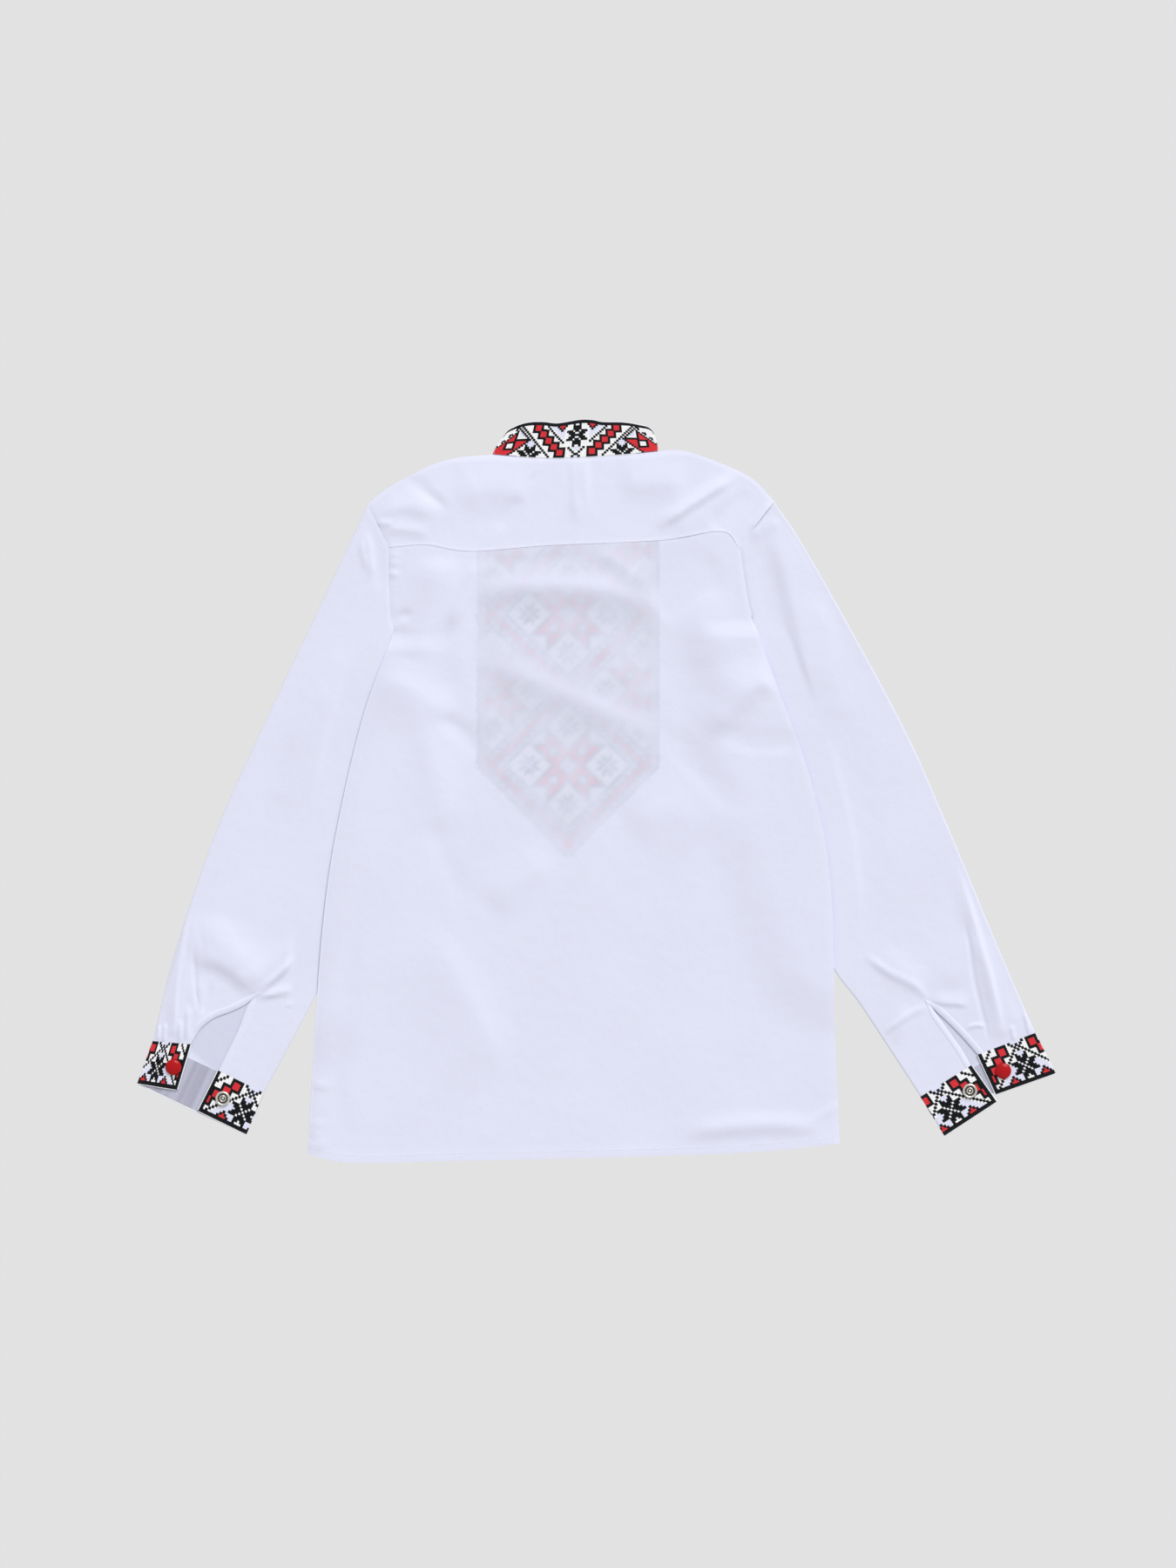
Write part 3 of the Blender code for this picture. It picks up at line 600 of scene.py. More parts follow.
# Largest folds of the upper layer, as in the solids: crest line, height and half width
Fold = namedtuple("Fold", "height width path")
FOLDS = (
    Fold(0.0032, 0.013, ((-0.115, 0.17), (-0.11, 0.12), (-0.098, 0.06))),
    Fold(0.0026, 0.012, ((-0.13, 0.035), (-0.118, -0.015))),
    Fold(0.0024, 0.013, ((-0.08, 0.162), (-0.02, 0.16), (0.04, 0.156))),
    Fold(0.0026, 0.014, ((-0.075, 0.112), (-0.02, 0.095), (0.04, 0.078))),
    Fold(0.003, 0.014, ((0.088, 0.145), (0.082, 0.11))),
    Fold(0.0028, 0.014, ((0.095, 0.09), (0.12, 0.075))),
    Fold(0.0024, 0.013, ((-0.135, 0.222), (-0.11, 0.23))),
    Fold(0.0028, 0.012, ((0.07, 0.21), (0.1, 0.23))),
    Fold(0.0034, 0.011, ((-0.295, -0.112), (-0.278, -0.13))),
    Fold(0.003, 0.009, ((-0.264, -0.145), (-0.238, -0.125))),
    Fold(0.0026, 0.008, ((-0.32, -0.105), (-0.324, -0.135), (-0.329, -0.185))),
    Fold(0.0022, 0.007, ((-0.311, -0.155), (-0.31, -0.182))),
    Fold(0.003, 0.011, ((0.278, -0.143), (0.29, -0.125))),
    Fold(0.0028, 0.009, ((0.248, -0.148), (0.23, -0.135))),
    Fold(0.0026, 0.008, ((0.24, -0.178), (0.233, -0.193))),
    Fold(0.0026, 0.007, ((0.296, -0.1), (0.306, -0.135), (0.315, -0.185))),
    Fold(0.0024, 0.007, ((0.312, -0.115), (0.327, -0.175))),
    Fold(0.0026, 0.014, ((0.175, 0.135), (0.19, 0.07))),
    Fold(0.0026, 0.013, ((-0.215, 0.07), (-0.245, 0.0))),
)

# Creases of the back: height (negative for a trough), how far the cloth slopes to the left and
# to the right of its line, how near a seam it runs, and its line
Crease = namedtuple("Crease", "height left right fade path")


def creases(*rows):
    """Creases from rows that hold their four sizes and then the points of their line."""
    return [Crease(*row[:4], row[4:]) for row in rows]


BACK_CREASES = creases(
    (0.0024, 0.018, 0.028, 0.004, (-0.12, 0.19), (-0.127, 0.16), (-0.134, 0.13), (-0.144, 0.1)),
    (0.0022, 0.01, 0.008, 0.004, (-0.087, 0.188), (-0.102, 0.155), (-0.117, 0.122)),
    (0.0019, 0.022, 0.034, 0.006, (-0.178, 0.09), (-0.15, 0.08), (-0.128, 0.068), (-0.1, 0.058)),
    (-0.0011, 0.01, 0.01, 0.006, (-0.125, 0.06), (-0.104, 0.044), (-0.092, 0.024)),
    (-0.0021, 0.03, 0.03, 0.004, (0.044, 0.14), (0.07, 0.16), (0.096, 0.182)),
    (0.001, 0.03, 0.026, 0.008, (0.058, 0.15), (0.086, 0.126), (0.108, 0.098)),
    (0.0026, 0.026, 0.014, 0.008, (0.082, 0.04), (0.104, 0.062), (0.124, 0.083), (0.152, 0.08)),
    (-0.0016, 0.014, 0.008, 0.006, (0.09, 0.044), (0.131, 0.035), (0.166, 0.041)),
    (-0.0013, 0.014, 0.014, 0.01, (0.048, 0.054), (0.08, 0.02), (0.118, -0.024)),
    (0.0021, 0.02, 0.024, 0.01, (-0.1, 0.158), (-0.034, 0.16), (0.01, 0.156), (0.056, 0.143)),
    (0.0021, 0.022, 0.024, 0.01, (-0.098, 0.106), (-0.05, 0.088), (-0.02, 0.075), (0.05, 0.046)),
    (0.0016, 0.018, 0.012, 0.003, (0.0, 0.193), (0.018, 0.178), (0.046, 0.154)),
    (0.0014, 0.026, 0.024, 0.01, (-0.086, -0.092), (-0.06, -0.07), (-0.032, -0.05)),
    (0.0016, 0.024, 0.05, 0.01, (-0.14, -0.095), (-0.118, -0.135), (-0.092, -0.18),
     (-0.07, -0.235)),
    (-0.001, 0.012, 0.012, 0.01, (-0.13, -0.02), (-0.114, -0.06), (-0.098, -0.094)),
    (0.0016, 0.04, 0.04, 0.01, (0.02, -0.03), (0.056, -0.016), (0.096, -0.034)),
    (-0.0014, 0.022, 0.026, 0.008, (0.168, -0.15), (0.142, -0.205), (0.104, -0.247)),
    (0.0019, 0.012, 0.01, 0.004, (0.06, -0.268), (0.11, -0.262), (0.15, -0.261), (0.185, -0.268)),
    (0.001, 0.004, 0.004, 0.001, (0.164, -0.261), (0.178, -0.252), (0.193, -0.241)),
    (-0.0013, 0.012, 0.012, 0.004, (-0.19, -0.1), (-0.2, -0.19), (-0.204, -0.235),
     (-0.198, -0.28)),
    (0.001, 0.004, 0.004, 0.001, (-0.223, -0.229), (-0.208, -0.231)),
    (0.001, 0.004, 0.004, 0.001, (-0.225, -0.261), (-0.211, -0.26)),
    (0.001, 0.004, 0.004, 0.001, (-0.226, -0.268), (-0.212, -0.2675)),
    (0.0011, 0.005, 0.005, 0.001, (-0.226, -0.277), (-0.208, -0.275)),
    (0.0009, 0.004, 0.004, 0.001, (-0.165, 0.186), (-0.152, 0.183)),
    (0.0009, 0.004, 0.004, 0.001, (-0.165, 0.179), (-0.153, 0.177)),
    (0.0009, 0.004, 0.004, 0.001, (-0.165, 0.171), (-0.154, 0.168)),
    (-0.0014, 0.006, 0.006, 0.001, (-0.164, 0.128), (-0.153, 0.136), (-0.143, 0.14)),
)
FOLD_SHARE = 0.35        # the solids' large folds are drawn out to this share, under the creases
CREST = 0.25             # share of a crease's slope that its crest rounds over
LOWEST = 0.6 * (UPPER - LOWER)     # troughs sink this far at most, towards the cloth below


def fold_height(plan, edge):
    """Height of the largest folds; edge is each point's distance from the edges they die out to."""
    height = np.zeros(plan.shape[:-1])
    for fold in FOLDS:
        height += fold.height * np.exp(-(distance(plan, fold.path) / fold.width) ** 2)
    return FOLD_SHARE * height * smooth(edge / EDGE_FADE)


def crease_height(plan, creases, edge):
    """Height that creases add, each dying out at its own ends and near the sewn edge."""
    height = np.zeros(plan.shape[:-1])
    for crease in creases:
        line = curve(crease.path, evenly(16))
        reach = max(crease.left, crease.right)
        near = np.all((plan > line.min(0) - reach) & (plan < line.max(0) + reach), axis=-1)
        if not near.any():
            continue
        away, on_left, share = nearest(plan[near], line)
        width = np.where(on_left, crease.left, crease.right)
        ends = smooth(np.minimum(share, 1 - share) / TAPER)
        slope = 1 - np.hypot(away / width, CREST) + CREST
        rise = crease.height * np.maximum(slope, 0.0) ** 2 * ends
        height[near] += rise * smooth(edge[near] / crease.fade)
    return height


def laid(folds):
    """Folds whose troughs level out before they reach the cloth below."""
    return np.where(folds < 0, LOWEST * np.expm1(np.minimum(folds, 0) / LOWEST), folds)


def spaced(*stretches):
    """Shares from 0 to 1 in stretches of even steps: each stretch is its end and its steps."""
    shares, start = [0.0], 0.0
    for end, steps in stretches:
        shares += list(evenly(steps, start, end)[1:])
        start = end
    return np.array(shares)


back_u = spaced((0.25, 26), (0.78, 104), (1.0, 24))
back_v = spaced((0.56, 72), (1.0, 126))
beside_v = evenly(44)
seams = body_lines(back_u, 40, back_v, beside_v, evenly(20))
back = np.vstack([
    coons(seams["hem"], seams["chest"], seams["side_left"], seams["side_right"], back_u, back_v),
    coons(seams["chest"], seams["yoke_seam"], seams["arm_left"], seams["arm_right"],
          back_u, beside_v)[1:]])
back_edges = [seams[line] for line in ("side_left", "side_right", "arm_left", "arm_right")]
from_sides = np.min([distance(back, line[::4]) for line in back_edges], axis=0)
from_hem = distance(back, seams["hem"][::4])
from_top = distance(back, seams["yoke_seam"][::4])
folds = fold_height(back, np.minimum(from_sides, from_hem))
folds += crease_height(back, BACK_CREASES, from_sides)
folds *= TOP_FOLDS + (1 - TOP_FOLDS) * smooth(from_top / EDGE_FADE)
hem = HEM_THICKER * (1 - smooth((from_hem - HEM_TURN) / (HEM_TURN / 4)))
height = UPPER + body_lift(back) + laid(folds) + hem
height -= SEAM_DIP * (1 - smooth(from_sides / SEAM_REACH))
height -= TOP_DIP * (1 - smooth(from_top / SEAM_REACH))
height -= LEFT_ROLL * (1 - smooth(distance(back, seams["side_left"][::4]) / LEFT_ROLL_REACH))

# How each kind of stitch below tints the cloth over it, and the haze that they make together
SHOW_THROUGH = {
    BARE: (1.0, 1.0, 0.965),
    WHITE: (0.935, 0.942, 0.93),
    BLACK: (0.78, 0.812, 0.812),
    RED: (0.985, 0.76, 0.765),
}
HAZE = (0.915, 0.918, 0.905)
BLUR = (-0.6, 0.0, 0.6)
CLEAR_SHARE = 0.3        # share of the stitches' own tint where the cloth just lies on them
# Spots where it is pressed on them and they show clearly: middle, radius and further share
PRESSED = (((-0.05, 0.128), 0.024, 0.42), ((0.004, 0.112), 0.018, 0.3),
           ((-0.052, 0.02), 0.022, 0.5), ((0.008, 0.016), 0.026, 0.45),
           ((-0.022, 0.008), 0.016, 0.25), ((-0.022, -0.048), 0.012, 0.45))
# Patches where it lies closer and then looser: direction over the cloth, length and share
PATCHES = ((0.4, 0.037, 0.12), (1.9, 0.023, 0.12), (2.7, 0.013, 0.1))

# Where the back stands off the front, so that the stitches hardly show: how much of the tint goes,
# half the stretch's width, and its line
Lifted = namedtuple("Lifted", "share width path")
LIFTED = (
    Lifted(0.8, 0.0085, ((-0.09, 0.16), (-0.034, 0.1632), (0.007, 0.1591), (0.05, 0.147))),
    Lifted(0.85, 0.009, ((-0.086, 0.106), (-0.05, 0.0897), (-0.02, 0.0761), (0.007, 0.0639),
                          (0.042, 0.051))),
    Lifted(0.5, 0.01, ((0.008, 0.117), (0.044, 0.104))),
    Lifted(0.45, 0.007, ((-0.092, 0.118), (-0.07, 0.108))),
    Lifted(0.45, 0.007, ((0.006, 0.188), (0.024, 0.172))),
    Lifted(0.35, 0.012, ((-0.06, -0.02), (-0.022, -0.05), (0.02, -0.015))),
)


def tint_over_panel(plan):
    """Tint of the cloth over the embroidery: the stitches below, softened, paler where it lifts."""
    across, down = panel_stitch(plan)
    kinds = np.array([SHOW_THROUGH[kind] for kind in sorted(SHOW_THROUGH)])
    total = np.zeros((len(plan), 3))
    for dx in BLUR:
        for dy in BLUR:
            cell, covered = panel_chart(np.rint(across + dx), np.rint(down + dy))
            total += np.where(covered[:, None], kinds[cell], 1.0)
    pattern = total / len(BLUR) ** 2
    clear = np.full(len(plan), CLEAR_SHARE)
    for middle, radius, share in PRESSED:
        clear += share * np.exp(-((plan - middle) ** 2).sum(axis=1) / radius ** 2)
    strength = np.ones(len(plan))
    for turn, length, share in PATCHES:
        strength += share * np.sin(math.tau * (plan @ (math.cos(turn), math.sin(turn))) / length)
    for lifted in LIFTED:
        strength *= 1 - lifted.share * np.exp(-(distance(plan, lifted.path) / lifted.width) ** 2)
    over = panel_chart(np.rint(across), np.rint(down))[1]
    haze = np.where(over[:, None], HAZE, 1.0)
    return 1 + (haze - 1 + clear[:, None] * (pattern - haze)) * strength[:, None]


# Cotton whose colour is multiplied by a tint on its points: the embroidery showing through on the back
# panel, and painted shade on the insides of the sleeves and cuffs
show_through_and_shade_cotton = woven_material("white_cotton_show_through_and_painted_shade", COTTON_COLOR, below="below")
back_panel = cloth("back_panel_cloth", with_height(back, height), "back_panel", shade=show_through_and_shade_cotton)


def paint(obj, tint_at):
    """Gives a piece's points a tint that its material multiplies its colour by: stitches showing
    through from below, or painted shade.
    """
    spots = np.zeros(3 * len(obj.data.vertices), np.float32)
    obj.data.vertices.foreach_get("co", spots)
    tint = np.ones((len(obj.data.vertices), 4), np.float32)
    tint[:, :3] = tint_at(spots.reshape(-1, 3))
    below = obj.data.attributes.new("below", "FLOAT_COLOR", "POINT")
    below.data.foreach_set("color", tint.ravel())


paint(back_panel, lambda spots: tint_over_panel(spots[:, :2]))


def top_stitching(name, line, heights):
    """Running stitches along a line of plan points, lying on the cloth."""
    length = steps_along(line).sum()
    count = int(length / TOP_STITCH_STEP)
    half = TOP_STITCH / 2 / length
    vertices, faces = [], []
    full = np.column_stack([line, heights])
    for number in range(count):
        centre = (number + 0.5) / count
        start, crown, end = along(full, (centre - half, centre, centre + half))
        side = np.array([-(end - start)[1], (end - start)[0], 0.0])
        side *= TOP_STITCH_WIDTH / 2 / np.linalg.norm(side)
        up = np.array([0.0, 0.0, TOP_STITCH_WIDTH * TOP_STITCH_CROWN])
        base = len(vertices)
        vertices += [start, crown - side, crown + side, end, crown + up]
        faces += [(base, base + 1, base + 4), (base + 1, base + 3, base + 4),
                  (base + 3, base + 2, base + 4), (base + 2, base, base + 4)]
    mesh = new_mesh(name, [tuple(vertex) for vertex in vertices], faces)
    return piece(name, mesh, FLOSS[WHITE][1])


hem_line = (seams["hem"] + HEM_TURN * sideways(seams["hem"]))[1:-1]
hem_heights = UPPER + body_lift(hem_line[None])[0] + HEM_THICKER + COTTON / 2
top_stitching("hem_topstitching", hem_line, hem_heights)


# The yoke
# A second piece of cotton across the shoulders, between the collar and the curved seam below. It is
# doubled, so nothing shows through it, and its lower edge is pressed over the back panel.

YOKE_COLUMNS = 168
YOKE_ROWS = 44
YOKE_LIP = 0.0002        # its pressed edge stands this much over the back panel
YOKE_LIP_REACH = 0.0022
YOKE_STITCH_ROW = 0.6    # its topstitching runs this far along the first row of its mesh
YOKE_LAP = 0.0004        # and reaches this much over it
YOKE_CREASES = creases(
    (0.0012, 0.014, 0.012, 0.003, (-0.172, 0.215), (-0.146, 0.222), (-0.122, 0.2125)),
    (0.0011, 0.01, 0.008, 0.003, (-0.168, 0.204), (-0.15, 0.2045), (-0.128, 0.2)),
    (-0.0013, 0.007, 0.007, 0.003, (-0.152, 0.25), (-0.134, 0.234), (-0.114, 0.217)),
    (0.0019, 0.034, 0.022, 0.004, (-0.112, 0.228), (-0.08, 0.236), (-0.048, 0.228)),
    (-0.001, 0.008, 0.01, 0.004, (-0.058, 0.232), (-0.068, 0.216), (-0.078, 0.202)),
    (0.0016, 0.03, 0.018, 0.004, (0.014, 0.238), (0.044, 0.241), (0.074, 0.24)),
    (0.0024, 0.009, 0.006, 0.002, (0.044, 0.203), (0.077, 0.225), (0.114, 0.249)),
    (-0.0014, 0.012, 0.01, 0.002, (0.088, 0.204), (0.104, 0.218), (0.118, 0.236)),
    (0.0019, 0.006, 0.008, 0.001, (0.121, 0.2), (0.13, 0.213), (0.14, 0.227)),
    (0.001, 0.01, 0.01, 0.004, (-0.012, 0.264), (-0.012, 0.24), (-0.018, 0.206)),
    (0.0004, 0.0035, 0.0035, 0.001, (-0.019, 0.264), (-0.018, 0.24), (-0.017, 0.214)),
    (0.0004, 0.0035, 0.0035, 0.001, (-0.008, 0.264), (-0.008, 0.24), (-0.007, 0.216)),
    (0.0005, 0.0035, 0.0035, 0.001, (-0.042, 0.262), (-0.046, 0.252), (-0.052, 0.243)),
    (0.0008, 0.0045, 0.0045, 0.001, (-0.172, 0.209), (-0.158, 0.209)),
)
yoke_u, yoke_v = evenly(YOKE_COLUMNS), evenly(YOKE_ROWS)
seams = body_lines(yoke_u, round(YOKE_COLUMNS * SHOULDER_SHARE), back_v, beside_v, yoke_v)
yoke = coons(seams["yoke_seam"], seams["top_back"], seams["end_left"], seams["end_right"],
             yoke_u, yoke_v)
yoke = inset(yoke, first=-YOKE_LAP)
from_top = distance(yoke, seams["top_back"][::4])
from_seam = distance(yoke, seams["yoke_seam"][::4])
from_ends = np.minimum(distance(yoke, seams["end_left"]), distance(yoke, seams["end_right"]))
folds = fold_height(yoke, from_top)
folds += crease_height(yoke, YOKE_CREASES, np.minimum(from_top, from_seam))
height = UPPER + laid(folds) + YOKE_LIP * (1 - smooth(from_seam / YOKE_LIP_REACH))
height -= SEAM_DIP * (1 - smooth(np.minimum(from_top, from_ends) / SEAM_REACH))
yoke_cotton = woven_material("doubled_cotton", [min(1.0, 1.02 * part) for part in COTTON_COLOR])
back_yoke = cloth("back_yoke_cloth", with_height(yoke, height), "back_yoke", shade=yoke_cotton)
yoke_line = (1 - YOKE_STITCH_ROW) * yoke[0] + YOKE_STITCH_ROW * yoke[1]
yoke_line_heights = (1 - YOKE_STITCH_ROW) * height[0] + YOKE_STITCH_ROW * height[1] + COTTON / 2
top_stitching("yoke_topstitching", yoke_line[2:-2], yoke_line_heights[2:-2])


# The sleeves
# Each is one piece of cotton sewn to a tube, flattened, and tucked partly under the body. A slit at
# the wrist, bound with a narrow strip, lets the cuff open, and pleats take the width in to the cuff.

BINDING_WIDTH = 0.005
BINDING_STEPS = 6
BINDING_RISE = 0.0005
SLIT_LIES = 0.0008       # the slit's edges lie this far over the lower layer
SLIT_REACH = 0.008
SHOWN_SLOPE = 0.008      # its folds die out this near the body that lies over it
# Painted shade on the inner face of the sleeve's lower layer where the slit shows it, and the distance
# over which it fades out from the opening
INSIDE_PAINTED_SHADE = (0.865, 0.875, 0.885)
SHADE_FADE = 0.006
TIP_WIDENING = 1.6
TURN_ROWS = 8            # rows in which the binding turns in, at the slit's tip and at the cuff
SLIT_SINK = 0.25         # share of its height that the sleeve keeps at the slit's edges
TURN_POINTS = 5          # columns round a fold
SLEEVE_ROWS = 120
WRIST_ROWS = 62
OUTER_COLUMNS = 60
INNER_COLUMNS = 44
WRIST_FADE = 0.01

Cuff = namedtuple("Cuff", "side end_a_seam end_a_hem fold_a_seam fold_a_hem "
                          "fold_b_seam fold_b_hem end_b_seam end_b_hem under_hem cap ring")
CUFF_LEFT = Cuff(
    side="left",
    end_a_seam=(-0.317, -0.198), end_a_hem=(-0.3275, -0.233),
    fold_a_seam=(-0.3465, -0.1955), fold_a_hem=(-0.3585, -0.228),
    fold_b_seam=FOLD_SEAM_LEFT, fold_b_hem=(-0.273, -0.2678),
    end_b_seam=(-0.295, -0.2185), end_b_hem=(-0.3105, -0.2495), under_hem=(-0.316, -0.2482),
    cap=(-0.33, -0.2155), ring=(-0.2915, -0.24))
CUFF_RIGHT = Cuff(
    side="right",
    end_a_seam=(0.298, -0.206), end_a_hem=(0.312, -0.2365),
    fold_a_seam=(0.343, -0.189), fold_a_hem=(0.3585, -0.22),
    fold_b_seam=FOLD_SEAM_RIGHT, fold_b_hem=(0.2715, -0.269),
    end_b_seam=(0.2925, -0.2145), end_b_hem=(0.312, -0.2425), under_hem=(0.311, -0.235),
    cap=(0.3175, -0.2185), ring=(0.2915, -0.234))

Sleeve = namedtuple("Sleeve", "cuff outer inner open_a open_b outer_share inner_share creases")
SLEEVE_LEFT = Sleeve(
    cuff=CUFF_LEFT,
    outer=((-0.179, 0.223), (-0.209, 0.159), (-0.261, 0.0495), (-0.298, -0.0335),
           (-0.329, -0.125)),
    inner=INNER_LEFT,
    open_a=((-0.2675, -0.1618), (-0.2755, -0.1676), (-0.2851, -0.1722), (-0.299, -0.1776),
            (-0.3095, -0.1862)),
    open_b=((-0.2675, -0.1618), (-0.2728, -0.169), (-0.2806, -0.189)),
    outer_share=0.84, inner_share=0.8,
    creases=creases(
        (0.0026, 0.034, 0.011, 0.003, (-0.318, -0.136), (-0.302, -0.131), (-0.286, -0.138),
         (-0.273, -0.149), (-0.263, -0.16)),
        (0.0013, 0.003, 0.012, 0.002, (-0.319, -0.085), (-0.3238, -0.121), (-0.3277, -0.151),
         (-0.33, -0.199)),
        (-0.0008, 0.003, 0.003, 0.002, (-0.315, -0.12), (-0.312, -0.16), (-0.3085, -0.176)),
        (-0.0007, 0.003, 0.003, 0.002, (-0.2993, -0.15), (-0.3046, -0.164), (-0.3078, -0.176)),
        (0.0028, 0.005, 0.0035, 0.001, (-0.268, -0.1615), (-0.246, -0.142), (-0.228, -0.1245),
         (-0.208, -0.108)),
        (0.0018, 0.006, 0.003, 0.001, (-0.268, -0.162), (-0.238, -0.156), (-0.216, -0.149)),
        (0.0008, 0.003, 0.003, 0.002, (-0.246, -0.168), (-0.23, -0.165), (-0.214, -0.162)),
        (0.0011, 0.004, 0.004, 0.001, (-0.318, -0.166), (-0.319, -0.182), (-0.3195, -0.199)),
        (0.0009, 0.003, 0.003, 0.001, (-0.337, -0.18), (-0.3385, -0.198)),
        (0.0009, 0.003, 0.003, 0.001, (-0.3245, -0.178), (-0.3255, -0.198)),
        (0.0009, 0.003, 0.003, 0.001, (-0.342, -0.182), (-0.3435, -0.196)),
        (-0.0012, 0.01, 0.008, 0.001, (-0.181, 0.222), (-0.172, 0.19), (-0.1655, 0.15)),
        (0.001, 0.005, 0.006, 0.002, (-0.179, 0.206), (-0.1765, 0.186), (-0.174, 0.164)),
        (0.0009, 0.0035, 0.0035, 0.001, (-0.185, 0.198), (-0.182, 0.184), (-0.179, 0.172)),
        (-0.0008, 0.03, 0.03, 0.01, (-0.236, 0.06), (-0.252, 0.0), (-0.264, -0.08)),
        (0.001, 0.03, 0.03, 0.01, (-0.2, 0.13), (-0.206, 0.06), (-0.222, -0.02)),
    ))
SLEEVE_RIGHT = Sleeve(
    cuff=CUFF_RIGHT,
    outer=((0.139, 0.226), (0.1675, 0.182), (0.2365, 0.057), (0.2735, -0.025),
           (0.3165, -0.128)),
    inner=INNER_RIGHT,
    open_a=((0.2608, -0.1678), (0.27, -0.1763), (0.2795, -0.1855), (0.2885, -0.195)),
    open_b=((0.2608, -0.1678), (0.268, -0.1775), (0.277, -0.19), (0.286, -0.203)),
    outer_share=0.86, inner_share=0.84,
    creases=creases(
        (-0.001, 0.016, 0.012, 0.004, (0.124, 0.205), (0.133, 0.16), (0.142, 0.11), (0.158, 0.06)),
        (0.0016, 0.026, 0.012, 0.006, (0.136, 0.214), (0.15, 0.16), (0.162, 0.11), (0.172, 0.062)),
        (-0.001, 0.024, 0.024, 0.01, (0.192, 0.06), (0.202, -0.02), (0.212, -0.11)),
        (0.0012, 0.004, 0.005, 0.003, (0.206, -0.1255), (0.2274, -0.1408), (0.2505, -0.153),
         (0.262, -0.167)),
        (0.0011, 0.004, 0.004, 0.002, (0.222, -0.191), (0.2417, -0.1762), (0.262, -0.166)),
        (0.0012, 0.01, 0.004, 0.003, (0.259, -0.164), (0.275, -0.1655), (0.293, -0.167)),
        (0.0015, 0.004, 0.012, 0.002, (0.28, -0.052), (0.2932, -0.0946), (0.3002, -0.121),
         (0.3074, -0.146), (0.3145, -0.178), (0.318, -0.198)),
        (-0.0008, 0.003, 0.003, 0.002, (0.2859, -0.0946), (0.2913, -0.121), (0.2945, -0.145),
         (0.3002, -0.1694), (0.3083, -0.201)),
        (0.0008, 0.003, 0.003, 0.001, (0.288, -0.186), (0.296, -0.183), (0.305, -0.184)),
        (0.0008, 0.003, 0.003, 0.001, (0.334, -0.17), (0.337, -0.18), (0.339, -0.192)),
        (0.0008, 0.003, 0.003, 0.001, (0.324, -0.182), (0.326, -0.196)),
        (0.001, 0.006, 0.008, 0.001, (0.118, 0.196), (0.13, 0.206), (0.146, 0.212)),
    ))


def folded(plans, heights, closed=False):
    """Grids of plan points laid on each other and joined by round folds, as one grid in space.

    Each plan's last column lies on the silhouette where the next plan's first column starts, and
    a closed one goes on from the last plan to the first. A fold's turn follows its upper plan.
    """
    radius, centre = (UPPER - LOWER) / 2, (UPPER + LOWER) / 2
    draw_in = radius + WALL / 2
    turns = np.radians(np.linspace(-90, 90, TURN_POINTS + 2)[1:-1])
    pieces = []
    for number, (plan, height) in enumerate(zip(plans, heights)):
        starts_at_fold = closed or number > 0
        ends_at_fold = closed or number < len(plans) - 1
        if starts_at_fold:
            going_up = np.max(height) > np.max(heights[number - 1])
            edge, inner = (plan[:, 0], plan[:, 1]) if going_up else \
                (plans[number - 1][:, -1], plans[number - 1][:, -2])
            out = unit(edge - inner)
            for turn in turns if going_up else turns[::-1]:
                spot = edge + (radius * math.cos(turn) - draw_in) * out
                pieces.append(with_height(spot[:, None], centre + radius * math.sin(turn)))
        trimmed = inset(plan, left=draw_in * starts_at_fold, right=draw_in * ends_at_fold)
        pieces.append(with_height(trimmed, height))
    return np.hstack(pieces)


def sleeve_shares(share):
    """Even steps above the slit's tip, then even steps from its level to the cuff."""
    return spaced((share, SLEEVE_ROWS), (1.0, WRIST_ROWS))


def slit_lines(sleeve):
    """Open edges of the slit, and the directions to the cloth behind its binding, from the tip."""
    cuff, at = sleeve.cuff, evenly(WRIST_ROWS)
    open_a = curve(sleeve.open_a + (cuff.end_a_seam,), at)
    open_b = curve(sleeve.open_b + (cuff.end_b_seam,), at)
    turn = 1 if sleeve is SLEEVE_LEFT else -1
    back_a, back_b = -turn * sideways(open_a), turn * sideways(open_b)
    at_tip = back_a[0] + back_b[0]
    at_tip *= TIP_WIDENING / np.linalg.norm(at_tip)
    near_tip = smooth(at * len(at) / TURN_ROWS)[:, None]
    near_seam = smooth((1 - at) * len(at) / TURN_ROWS)[:, None]
    blended = []
    for back, fold, end in ((back_a, cuff.fold_a_seam, cuff.end_a_seam),
                            (back_b, cuff.fold_b_seam, cuff.end_b_seam)):
        along_seam = unit(np.subtract(fold, end))
        back = near_tip * back + (1 - near_tip) * at_tip
        blended.append(near_seam * back + (1 - near_seam) * along_seam)
    return open_a, open_b, *blended


